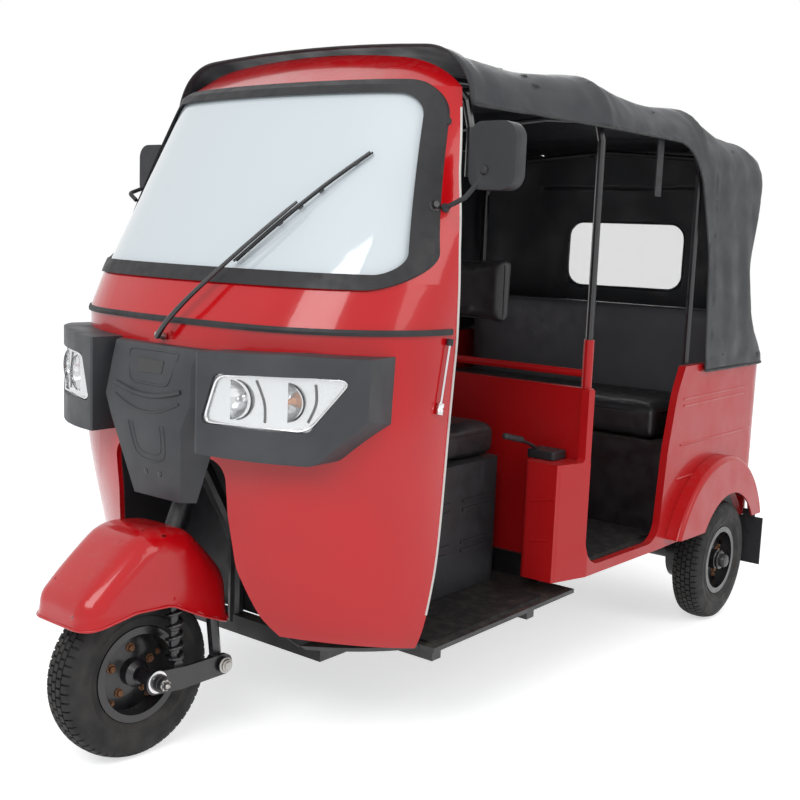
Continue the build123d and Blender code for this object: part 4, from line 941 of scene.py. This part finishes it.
for side in (1, -1):
    name = "left" if side > 0 else "right"
    outward = front_axis * side
    ring_foot = steered(side * 112, 0, 208)
    ring = [(0, 24), (1, 27), (4, 27), (5, 24), (5.2, 17)]
    piece_from(f"{name}_axle_ring", [turned(ring, ring_foot, outward, 32)], BRIGHT_METAL, "steering")
    sleeve = [(4, 17.5), (20, 17.5), (21, 16.4), (24, 16.4)]
    piece_from(f"{name}_axle_sleeve", [turned(sleeve, ring_foot, outward, 28)], SATIN_BLACK, "steering")
    nut = castle_nut(steered(side * 137, 0, 208), outward, 25, 13)
    piece_from(f"{name}_axle_nut", [nut], MACHINED_STEEL, "steering", 25)
    bush = [(0, 20), (3, 20), (4, 16), (9, 15), (10, 11), (13, 10.5)]
    bush_foot = steered(side * 121, 200, 200)
    piece_from(f"{name}_link_bush", [turned(bush, bush_foot, outward, 28)], MACHINED_STEEL, "steering")
print("axle ends at", [round(v, 3) for v in steered(137, 0, 208)])

# %% Coil springs round their dampers
COIL_RADIUS = 19
WIRE_RADIUS = 4.2
COIL_TURNS = 6.5
SPRING_FOOT, SPRING_TOP = 248, 425
spring_up = (steered(84, 72, SPRING_TOP) - steered(84, 72, SPRING_FOOT)).normalized()
for side in (1, -1):
    name = "left" if side > 0 else "right"
    steps = int(COIL_TURNS * 14)
    wire = []
    for step in range(steps + 1):
        share = step / steps
        angle = 2 * pi * COIL_TURNS * share
        eased = share + 0.022 * sin(2 * pi * share) * -1
        height = SPRING_FOOT + (SPRING_TOP - SPRING_FOOT) * eased
        wire.append(steered(side * 84 + COIL_RADIUS * cos(angle), 72 + COIL_RADIUS * sin(angle), height))
    coil = bar(f"{name}_spring_coil", wire, WIRE_RADIUS, SATIN_BLACK, "steering")
    damper = [(-6, 10), (-6, 14), (0, 23), (5, 23), (6, 13), (70, 13), (72, 14.5), (78, 14.5), (79, 12)]
    damper += [(160, 12), (162, 20), (178, 23), (183, 23), (184, 16), (188, 12)]
    body_shape = turned(damper, steered(side * 84, 72, 242), spring_up, 28)
    damper_piece = piece_from(f"{name}_damper", [body_shape], SATIN_BLACK, "steering")
    if side > 0:
        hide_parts("front_springs")
print("coil of", COIL_TURNS, "turns")

# %% [markdown]
# ## Skins that need rounder edges
# The mudguard is deep-drawn steel and the cowl is moulded, so neither has a hard edge anywhere. A copy
# of the solid's mesh is cut into a grid and smoothed for the mudguard. For the cowl, whose faces are
# flat, the copy keeps its faces and only its edges are rounded.

# %% Helper: a smoothed copy of a solid
def grid_cut(work, grid, low, high):
    for axis in range(3):
        normal = Vector((0, 0, 0))
        normal[axis] = 1
        station = low[axis] + grid / 2
        while station < high[axis]:
            spot = Vector((0, 0, 0))
            spot[axis] = station
            bmesh.ops.bisect_plane(work, geom=work.verts[:] + work.edges[:] + work.faces[:], dist=1e-5,
                                   plane_co=spot, plane_no=normal)
            station += grid
    bmesh.ops.remove_doubles(work, verts=work.verts, dist=grid * 0.12)


def outer_skin(node, heart, thickest):
    """Faces of a shell that look away from its heart, with the wall close behind them."""
    work = bmesh.new()
    work.from_mesh(solids[node].data)
    tree = tree_of(node)
    keep = []
    for face in work.faces:
        centre = face.calc_center_median()
        if face.normal.dot(centre - heart(centre)) <= 0:
            continue
        place, normal, index, distance = tree.ray_cast(centre - face.normal * 0.0005, -face.normal, thickest)
        if place is not None and distance > 0.001:
            keep.append(face)
    wanted = set(keep)
    bmesh.ops.delete(work, geom=[face for face in work.faces if face not in wanted], context="FACES")
    bmesh.ops.remove_doubles(work, verts=work.verts, dist=0.0002)
    return work


print("skin helpers ready")

# %% The mudguard
GUARD_GRID = 0.011
guard_low, guard_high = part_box("front_mudguard")
guard_heart = steered(0, 40, 330)
guard = outer_skin("front_mudguard", lambda spot: guard_heart, 0.012)
grid_cut(guard, GUARD_GRID, guard_low, guard_high)
relax(guard, 46)
for point in guard.verts:
    rise = max(0.0, min(1.0, (point.co.z - guard_low[2] - 0.05) / 0.1))
    point.co += point.normal * 0.0035 * rise
guard_loops = sorted(boundary_loops(guard), key=len, reverse=True)
guard_mesh = bpy.data.meshes.new("mudguard_skin")
guard.to_mesh(guard_mesh)
guard.free()
guard_mesh.shade_smooth()
mudguard = new_object("mudguard_skin", guard_mesh)
wall = mudguard.modifiers.new("steel_wall", "SOLIDIFY")
wall.thickness, wall.offset = 0.003, -1
dress(mudguard, GLOSS_RED, "steering")
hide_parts("front_mudguard")
rim_loop = guard_loops[0]
bar("mudguard_rolled_edge", rim_loop[:-1:2], 3.4, GLOSS_RED, "steering", closed=True)
print("mudguard:", len(guard_mesh.polygons), "faces, rolled edge of", len(rim_loop), "points")

# %% The cowl with rounded edges
def rounded_copy(node, name, width_mm, material, body="body", angle=18, segments=3):
    """Copy of a flat-faced solid whose edges are rounded; it replaces the solid."""
    work = bmesh.new()
    work.from_mesh(solids[node].data)
    bmesh.ops.remove_doubles(work, verts=work.verts, dist=0.0003)
    bmesh.ops.dissolve_limit(work, angle_limit=radians(4), verts=work.verts, edges=work.edges)
    mesh = bpy.data.meshes.new(name)
    work.to_mesh(mesh)
    work.free()
    mesh.shade_smooth()
    piece = new_object(name, mesh)
    rounding = piece.modifiers.new("rounded_edges", "BEVEL")
    rounding.width, rounding.segments = width_mm / 1000, segments
    rounding.limit_method, rounding.angle_limit = "ANGLE", radians(angle)
    rounding.use_clamp_overlap = True
    rounding.harden_normals = True
    dress(piece, material, body)
    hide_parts(node)
    return piece


cowl = rounded_copy("front_cowl", "cowl_moulding", 5, COWL_PLASTIC)
print("cowl faces:", len(cowl.data.polygons))

# %% [markdown]
# ## Headlamps
# Behind each clear lens there are two bright bowls with a bulb in each, a dark bridge between them and
# an amber indicator bulb at the outer corner. The bowls are turned shapes set just inside the lens, and
# the lens is edged by a bright rim that follows its outline.

# %% Bowls, bulbs and rims
LENS_CORNERS = ((241, 959), (521, 964), (446, 838), (203, 843))
FORWARD = Vector((0, -1, 0))


def lens_spot(side, x, z, lift_mm):
    return onto("headlamp_lenses", at(side * x, -400, z), -FORWARD, lift_mm)


def lens_outline(scale=1.0, count=9):
    """Points round the lens in the front view, with its corners rounded."""
    centre = Vector((345, 901))
    corners = [tuple(centre + (Vector(corner) - centre) * scale) for corner in LENS_CORNERS]
    return rounded_outline(corners, 26, count)


for side in (1, -1):
    name = "left" if side > 0 else "right"
    rim = []
    for x, z in lens_outline(0.955, 4):
        spot, normal = lens_spot(side, x, z, 1.5)
        rim.append(spot)
    bar(f"{name}_lens_rim", rim, 3.2, BRIGHT_METAL, closed=True)
    for number, (x, z, radius) in enumerate(((288, 903, 44), (400, 905, 42))):
        spot, normal = lens_spot(side, x, z, -6)
        facing = (normal + FORWARD * 0.9).normalized()
        inner = [(-35, 2), (-34, radius * 0.2), (-29, radius * 0.5), (-19, radius * 0.77)]
        inner += [(-8, radius * 0.93), (0, radius - 2)]
        points, faces = turned(inner, spot, facing, 40)
        piece_from(f"{name}_lamp_bowl_{number}", [(points, faces[:-1])], REFLECTOR)
        ring_profile = [(-3, radius - 1), (0, radius + 2), (1, radius + 2.5)]
        ring_profile += [(1, radius - 0.5), (-3, radius - 3)]
        ring = turned(ring_profile, spot, facing, 40)
        piece_from(f"{name}_bowl_ring_{number}", [(ring[0], ring[1][:-2])], SATIN_BLACK)
        bulb = [(-33, 3), (-33, 9), (-24, 9), (-22, 6), (-12, 6.5), (-6, 5), (-3, 1.5)]
        glow = AMBER if number == 1 else BRIGHT_METAL
        piece_from(f"{name}_bulb_{number}", [turned(bulb, spot, facing, 20)], glow)
    for number, (start, end) in enumerate((((336, 950), (356, 856)), ((452, 948), (440, 862)))):
        strip = []
        for share in (0, 0.35, 0.7, 1):
            x = start[0] + (end[0] - start[0]) * share + 9 * sin(pi * share)
            z = start[1] + (end[1] - start[1]) * share
            strip.append(lens_spot(side, x, z, -5)[0])
        bar(f"{name}_lamp_divider_{number}", strip, 3.4, SATIN_BLACK)
print("lamps dressed")

# %% [markdown]
# ## The cowl's centre panel
# The moulding between the lamps has a sunk panel with a blank plate, a ledge under it, a chevron and a
# long U-shaped groove with two screws. Each is laid on the cowl by rays from the front.

# %% Panel, ledge, chevron and groove
def on_cowl(points, lift_mm):
    return [onto("front_cowl", at(x, -400, z), -FORWARD, lift_mm)[0] for x, z in points]


panel_edge = [(-92, 988), (92, 988), (70, 908), (-70, 908)]
panel_line = on_cowl(rounded_outline(panel_edge, 18, 3), 0.2)
bar("cowl_panel_edge", panel_line, 2.6, COWL_PLASTIC, closed=True)
panel_middle, panel_normal = onto("front_cowl", at(0, -400, 950), -FORWARD)
panel_up = (Vector((0, 0, 1)) - panel_normal * panel_normal.z).normalized()
blank = rounded_outline([(-44, -16), (44, -16), (48, 16), (-48, 16)], 6)
blank_foot = panel_middle - panel_normal * 0.001
plate("cowl_blank_plate", blank, blank_foot, LEFT, panel_up, 2.6, SATIN_BLACK, edge_mm=1)
ledge = on_cowl([(-118, 900), (-60, 884), (0, 880), (60, 884), (118, 900)], 1.0)
bar("cowl_ledge", ledge, 5.5, COWL_PLASTIC)
chevron = on_cowl([(-116, 872), (-70, 850), (0, 838), (70, 850), (116, 872)], 0.2)
bar("cowl_chevron", chevron, 3.0, COWL_PLASTIC)
groove = on_cowl([(-64, 812), (-60, 752), (-46, 726), (0, 718), (46, 726), (60, 752), (64, 812)], 0.0)
bar("cowl_groove_lip", groove, 2.4, COWL_PLASTIC)
inner_groove = on_cowl([(-50, 812), (-47, 760), (-36, 740), (0, 734), (36, 740), (47, 760), (50, 812)], 0.0)
bar("cowl_inner_lip", inner_groove, 1.8, COWL_PLASTIC)
screws = []
for x in (-26, 26):
    spot, normal = onto("front_cowl", at(x, -400, 690), -FORWARD, -0.5)
    screw_head = [(0, 6.5), (1.6, 6.5), (2.4, 5.4), (2.6, 3), (1.4, 2.6), (1.2, 0.5)]
    screws.append(turned(screw_head, spot, normal, 20))
piece_from("cowl_screws", screws, SATIN_BLACK)
print("cowl panel at", [round(v, 3) for v in panel_middle])

# %% [markdown]
# ### Wiper
# A spindle nut, a channel-shaped arm that narrows, and a blade whose rubber lip is held by a thin
# backbone with small claws. The solid keeps the same line, so the new pieces follow it.

# %% Arm and blade
def nose_or_glass(x, z, lift_mm):
    for node in ("rubber_trims", "front_fascia", "windscreen"):
        place, normal, index, distance = tree_of(node).ray_cast(at(x, -900, z), -FORWARD)
        if place is not None:
            return place + FORWARD * lift_mm / 1000
    raise ValueError("the wiper's ray missed")


spindle = nose_or_glass(-8, 1018, 4)
spindle_axis = Vector((0, -0.96, 0.28)).normalized()
piece_from("wiper_spindle", [turned([(0, 8.6), (14, 8.6), (16, 7.5), (20, 7.5)], spindle, spindle_axis, 24),
                             hex_bolt(spindle + spindle_axis * 0.018, spindle_axis, 13, 7)], MACHINED_STEEL)
arm_line = [nose_or_glass(x, z, lift) for x, z, lift in
            ((-8, 1018, 26), (36, 1064, 40), (150, 1210, 42), (240, 1318, 38), (266, 1350, 34))]
arm = bar("wiper_arm", arm_line, 4.8, SATIN_BLACK)
arm.data.splines[0].points[0].radius = 1.5
arm.data.splines[0].points[1].radius = 1.35
arm.data.splines[0].points[4].radius = 0.75
blade_line = [nose_or_glass(144 + 238 * share, 1206 + 266 * share, 13 + 6 * sin(pi * share)) for share in
              (0, 0.2, 0.4, 0.6, 0.8, 1)]
bar("wiper_blade_lip", [spot - FORWARD * 0.004 for spot in blade_line], 2.4, RUBBER)
bar("wiper_backbone", [spot + FORWARD * 0.006 for spot in blade_line], 3.2, SATIN_BLACK)
claws = []
along = (blade_line[-1] - blade_line[0]).normalized()
for share in (0.1, 0.35, 0.5, 0.65, 0.9):
    spot = blade_line[0].lerp(blade_line[-1], share)
    spot = spot + FORWARD * (0.004 + 0.006 * sin(pi * share))
    claws.append(turned([(-7, 3.4), (-6, 5), (6, 5), (7, 3.4)], spot, along, 12))
piece_from("wiper_claws", claws, SATIN_BLACK)
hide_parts("wiper")
print("wiper blade", round((blade_line[-1] - blade_line[0]).length, 3), "m long")

# %% [markdown]
# ## Seats
# The driver's and passengers' cushions are foam under leathercloth. The solid gives their outer size. A
# slightly smaller copy is remeshed, blown up by a cloth simulation with a little pressure and held to a
# largest travel, so the sides pull in between the corners and the top crowns. Seams come after, as piping.

# %% Swell a cushion
def cushion_solids(node):
    """The separate closed shells of a solid, as lowest and highest corners."""
    work = bmesh.new()
    work.from_mesh(solids[node].data)
    bmesh.ops.remove_doubles(work, verts=work.verts, dist=0.0003)
    left, boxes = set(work.verts), []
    while left:
        stack, found = [left.pop()], []
        while stack:
            point = stack.pop()
            found.append(point.co.copy())
            for edge in point.link_edges:
                other = edge.other_vert(point)
                if other in left:
                    left.discard(other)
                    stack.append(other)
        low = Vector([min(co[axis] for co in found) for axis in range(3)])
        high = Vector([max(co[axis] for co in found) for axis in range(3)])
        boxes.append((low, high))
    work.free()
    return sorted(boxes, key=lambda box: box[0][1])


def pad_cage(name, low, high, shrink_mm, edge_mm):
    centre, size = (low + high) / 2, (high - low) - Vector((1, 1, 1)) * shrink_mm * 2 / 1000
    work = bmesh.new()
    bmesh.ops.create_cube(work, size=1)
    for point in work.verts:
        point.co = Vector((point.co[axis] * size[axis] for axis in range(3))) + centre
    bmesh.ops.bevel(work, geom=work.edges[:], offset=edge_mm / 1000, segments=3, affect="EDGES", profile=0.5)
    mesh = bpy.data.meshes.new(name)
    work.to_mesh(mesh)
    work.free()
    return new_object(name, mesh)


def swell(piece, pressure, cap_mm):
    """Remesh, inflate for twenty frames, hold each point to a largest travel, and apply."""
    remesh = piece.modifiers.new("even_mesh", "REMESH")
    remesh.mode, remesh.voxel_size = "VOXEL", 0.009
    graph = bpy.context.evaluated_depsgraph_get()
    even = bpy.data.meshes.new_from_object(piece.evaluated_get(graph))
    piece.modifiers.clear()
    piece.data = even
    start = [point.co.copy() for point in even.vertices]
    cloth = piece.modifiers.new("swell", "CLOTH")
    cloth.settings.use_pressure = True
    cloth.settings.uniform_pressure_force = pressure
    cloth.settings.quality = 5
    cloth.settings.effector_weights.gravity = 0
    scene = bpy.context.scene
    for step in range(1, 21):
        scene.frame_set(step)
    graph = bpy.context.evaluated_depsgraph_get()
    blown = bpy.data.meshes.new_from_object(piece.evaluated_get(graph))
    piece.modifiers.clear()
    for index, point in enumerate(blown.vertices):
        move = point.co - start[index]
        if move.length > cap_mm / 1000:
            point.co = start[index] + move.normalized() * cap_mm / 1000
    piece.data = blown
    scene.frame_set(1)


PADS = (
    ("driver_cushions", 0, "driver_seat_pad", 9, 12), ("driver_cushions", 1, "driver_back_pad", 8, 10),
    ("passenger_cushions", 0, "bench_pad", 10, 13), ("passenger_cushions", 1, "bench_back_pad", 9, 11),
)
pads = {}
for node, index, name, shrink, cap in PADS:
    low, high = cushion_solids(node)[index]
    pad = pad_cage(name, low, high, shrink, 22)
    swell(pad, 4.0, cap)
    low_z = low.z
    for point in pad.data.vertices:
        point.co.z = max(point.co.z, low_z + 0.001)
        for axis in range(3):
            point.co[axis] = min(max(point.co[axis], low[axis] - 0.004), high[axis] + 0.004)
    pad.data.shade_smooth()
    dress(pad, BOARD_LEATHER if name == "bench_back_pad" else LEATHER)
    pads[name] = (pad, low, high)
    if index == 0:
        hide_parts(node)
print("pads:", {name: len(held[0].data.vertices) for name, held in pads.items()})

# %% [markdown]
# ### Piping round the pads
# A round piping covers the seam that joins the top of a cushion to its sides. It is laid on the swelled
# pad by rays, so it follows the crown.

# %% Seams
def pad_seam(name, axis, level, radius_mm=3.2, inset=0.012):
    pad, low, high = pads[name]
    tree = tree_from(pad.data)
    others = [other for other in range(3) if other != axis]
    u_mid = (low[others[0]] + high[others[0]]) / 2
    v_mid = (low[others[1]] + high[others[1]]) / 2
    u_half = (high[others[0]] - low[others[0]]) / 2 + 0.05
    v_half = (high[others[1]] - low[others[1]]) / 2 + 0.05
    line = []
    for step in range(48):
        angle = 2 * pi * step / 48
        u, v = cos(angle), sin(angle)
        scale = 1 / max(abs(u), abs(v))
        start = Vector((0, 0, 0))
        start[axis] = level
        start[others[0]] = u_mid + u * scale * u_half
        start[others[1]] = v_mid + v * scale * v_half
        target = Vector((0, 0, 0))
        target[axis] = level
        target[others[0]] = u_mid + u * scale * (u_half - 0.09)
        target[others[1]] = v_mid + v * scale * (v_half - 0.09)
        target[others[0]] = min(max(target[others[0]], low[others[0]] + 0.03), high[others[0]] - 0.03)
        target[others[1]] = min(max(target[others[1]], low[others[1]] + 0.02), high[others[1]] - 0.02)
        place, normal, index, distance = tree.ray_cast(start, (target - start).normalized())
        if place is not None:
            line.append(place)
    return bar(f"{name}_piping", line, radius_mm, LEATHER, closed=True)


for name in ("driver_seat_pad", "bench_pad"):
    pad_seam(name, 2, pads[name][2].z - 0.026)
for name in ("driver_back_pad", "bench_back_pad"):
    pad_seam(name, 1, pads[name][1].y + 0.020)
print("piping on", len(pads), "pads")

# %% [markdown]
# ## Trim on the body
# The pressed front shell ends in a folded edge that is capped with a pale piping from the roof to the
# floor. Rays from the side find that edge at each height.

# %% Edge piping, buffers and the striker rod
FASCIA_EDGE = ((1590, 579), (1430, 541), (1250, 521), (1040, 523), (847, 506), (505, 483), (300, 457))
for side in (1, -1):
    name = "left" if side > 0 else "right"
    line = []
    for (z_high, y_high), (z_low, y_low) in zip(FASCIA_EDGE, FASCIA_EDGE[1:]):
        for share in (0, 0.34, 0.67):
            z = z_high + (z_low - z_high) * share
            y = y_high + (y_low - y_high) * share
            line.append(onto("front_fascia", at(side * 900, y - 5, z), (-side, 0, 0), 1.0)[0])
    line = [spot + Vector((0, 0.004, 0)) for spot in line]
    bar(f"{name}_edge_piping", line, 3.2, PIPING_WHITE)

for number, (px, py) in enumerate(((447, 121), (445, 208))):
    spot, normal = seen(px, py, "front_fascia")
    for side in (1, -1):
        place = Vector((spot.x * side, spot.y, spot.z))
        facing = Vector((normal.x * side, normal.y, normal.z))
        button = [(-2, 11), (3, 11), (5, 9.5), (6, 6), (6.3, 1)]
        name = "left" if side > 0 else "right"
        piece_from(f"{name}_rubber_buffer_{number}", [turned(button, place, facing, 24)], RUBBER)
rod_top = seen(447, 342, "front_fascia", 9)[0]
rod_foot = seen(437, 408, "front_fascia", 9)[0]
bar("striker_rod", [rod_top, rod_top.lerp(rod_foot, 0.5), rod_foot], 3.2, BRIGHT_METAL)
rod_axis = (rod_top - rod_foot).normalized()
knob = [(-16, 5), (-15, 8.5), (-4, 9), (0, 7), (4, 9), (12, 8.5), (14, 4)]
collar = [(-8, 6.5), (-7, 8), (7, 8), (8, 6.5)]
piece_from("striker_knob", [turned(knob, rod_foot, rod_axis, 20)], BRIGHT_METAL)
piece_from("striker_bushing", [turned(collar, rod_top, rod_axis, 20)], RUBBER)
print("edge piping and buffers on")

# %% [markdown]
# ### Mirrors
# Each head is a moulded shell with a soft outline, a glass in its rear face and a ball joint at the arm.

# %% Mirror heads
rounded_copy("mirrors", "mirror_shells", 9, DARK_PLASTIC_AND_WELL_SHADE, angle=40, segments=4)
for side, low_x, y, z in ((1, 596, 486, 1392), (-1, 596, 604, 1370)):
    name = "left" if side > 0 else "right"
    centre = at(side * (low_x + 63), y + 44.2, z + 77)
    outline_mm = rounded_outline([(-52, -66), (52, -66), (52, 66), (-52, 66)], 30, 6)
    plate(f"{name}_mirror_glass", outline_mm, centre, (-1, 0, 0), (0, 0, 1), 1.2, MIRROR_GLASS, edge_mm=0.5)
    ball = [(-12, 5), (-11, 9), (-6, 12), (0, 13), (6, 12), (11, 9), (12, 5)]
    ball_place = at(side * (low_x + 44), y + 6, z + 44)
    piece_from(f"{name}_mirror_joint", [turned(ball, ball_place, (0, -1, 0.2), 24)], RUBBER)
    foot = [(-3, 17), (3, 17), (6, 13), (12, 9), (20, 7.5)]
    spot, normal = onto("front_fascia", at(side * 900, 462, 1352), (-side, 0, 0))
    piece_from(f"{name}_mirror_foot", [turned(foot, spot, normal, 24)], SATIN_BLACK)
print("mirrors ready")

# %% [markdown]
# ### Pressed ribs
# Thin steel is stiffened by shallow ribs pressed along it. Each rib is a bar laid on the panel by rays
# through two places in the photograph, sunk so that only its crown shows, and repeated on the far side.

# %% Ribs on the tub
def rib_between(name, start, end, node, radius_mm, show_mm, material, count=6):
    line = []
    for step in range(count + 1):
        px = start[0] + (end[0] - start[0]) * step / count
        py = start[1] + (end[1] - start[1]) * step / count
        spot, normal = seen(px, py, node)
        line.append(spot - normal * (radius_mm - show_mm) / 1000)
    pieces = [bar(name, line, radius_mm, material)]
    far = [Vector((-spot.x, spot.y, spot.z)) for spot in line]
    pieces.append(bar(f"far_{name}", far, radius_mm, material))
    return pieces


TUB_RIBS = (
    ((684, 399), (744, 386)), ((684, 406), (744, 392)), ((680, 445), (742, 429)), ((676, 480), (706, 470)),
)
for number, (start, end) in enumerate(TUB_RIBS):
    rib_between(f"tub_rib_{number}", start, end, "side_panel_left", 7, 2.2, TUB_RED)
for number, (start, end) in enumerate((((529, 500), (556, 500)), ((529, 540), (556, 541)))):
    rib_between(f"ledge_rib_{number}", start, end, "side_panel_left", 6, 2.0, TUB_RED, 3)
print("ribs on each side:", len(TUB_RIBS) + 2)

# %% Beading where the fenders meet the tub
FENDER_MIDDLE = (1995, 208)
FENDER_REACH = (309.16, 335.36)
FENDER_SWEEP = (22, 168)
BEAD_STEPS = 22
BEAD_LOW = 380
for side in (1, -1):
    name = "left" if side > 0 else "right"
    line = []
    panel_tree = tree_of(f"side_panel_{name}")
    for step in range(BEAD_STEPS):
        angle = radians(FENDER_SWEEP[0] + (FENDER_SWEEP[1] - FENDER_SWEEP[0]) * step / (BEAD_STEPS - 1))
        y = FENDER_MIDDLE[0] + FENDER_REACH[0] * cos(angle)
        z = FENDER_MIDDLE[1] + FENDER_REACH[1] * sin(angle)
        if z < BEAD_LOW:
            continue
        place, normal, index, distance = panel_tree.ray_cast(at(side * 900, y, z), Vector((-side, 0, 0)))
        if place is not None:
            line.append(place + Vector((side * 0.002, 0, 0)))
    if len(line) > 4:
        bar(f"{name}_fender_beading", line, 3.4, RUBBER)
print("beading on the fenders")

# %% [markdown]
# ### Fittings in the cab
# On the red ledge beside the driver stand a black switch box and the handbrake lever with its ribbed
# grip. The dashboard carries a round dial without any lettering.

# %% Handbrake, switch box and dial
ledge_spot = seen(545, 458, "side_panel_left")[0]
box_low = Vector((ledge_spot.x - 0.045, ledge_spot.y - 0.03, ledge_spot.z))
box_outline = rounded_outline([(0, 0), (90, 0), (90, 74), (0, 74)], 10)
plate("ledge_switch_box", box_outline, box_low, LEFT, (0, 1, 0), 26, DARK_PLASTIC_AND_WELL_SHADE, edge_mm=4)
lever_foot = box_low + Vector((0.03, 0.02, 0.02))
lever_line = [lever_foot + Vector(step) for step in ((0, 0, 0), (-0.012, -0.03, 0.028), (-0.02, -0.12, 0.05))]
bar("handbrake_lever", lever_line, 5.5, SATIN_BLACK)
grip_axis = Vector((-0.008, -0.09, 0.022)).normalized()
grip_profile = []
for step in range(15):
    grip_profile.append((step * 6, 9.2 if step % 2 else 8.0))
grip_profile.append((88, 4))
grip_foot = lever_foot + Vector((-0.016, -0.07, 0.038))
piece_from("handbrake_grip", [turned(grip_profile, grip_foot, grip_axis, 20)], RUBBER)
dial_face, dial_normal = onto("dashboard", at(0, 900, 1172), (0, -1, 0))
dial = [(0, 46), (5, 46), (7, 43), (5, 41), (4.2, 38)]
piece_from("dashboard_dial_ring", [turned(dial, dial_face, dial_normal, 40)], BRIGHT_METAL)
print("fittings in the cab")

# %% [markdown]
# ### Rear door and lamps
# Seen from behind, the luggage door has a turned handle, and each tail lamp a
# black frame with a ribbed lens.

# %% Handle and lamp frames
door_face, door_normal = onto("rear_door", at(0, 3200, 470), (0, -1, 0))
handle = [(0, 16), (3, 16), (4, 9), (14, 8), (15, 13), (20, 14), (23, 10), (23.5, 2)]
piece_from("door_handle", [turned(handle, door_face, door_normal, 28)], BRIGHT_METAL, "rear_door")
LAMP_X = (372, 448)
LAMP_Z = (560, 720)
lamp_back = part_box("tail_lamps")[1][1]
for side in (1, -1):
    name = "left" if side > 0 else "right"
    low_x, high_x = sorted(side * x for x in LAMP_X)
    corners = [(low_x, LAMP_Z[0]), (high_x, LAMP_Z[0]), (high_x, LAMP_Z[1]), (low_x, LAMP_Z[1])]
    frame_line = [Vector((x / 1000, lamp_back - 0.003, z / 1000)) for x, z in rounded_outline(corners, 10, 2)]
    bar(f"{name}_tail_lamp_frame", frame_line, 3.6, SATIN_BLACK, closed=True)
    for number, z in enumerate((612, 668)):
        strip = [Vector((x / 1000, lamp_back, z / 1000)) for x in (low_x + 4, high_x - 4)]
        bar(f"{name}_tail_lamp_rib_{number}", strip, 1.6, RED_LENS, bend=2)
print("rear fittings on")

# %% [markdown]
# ## Close the scene

# %% The end
bpy.context.view_layer.update()
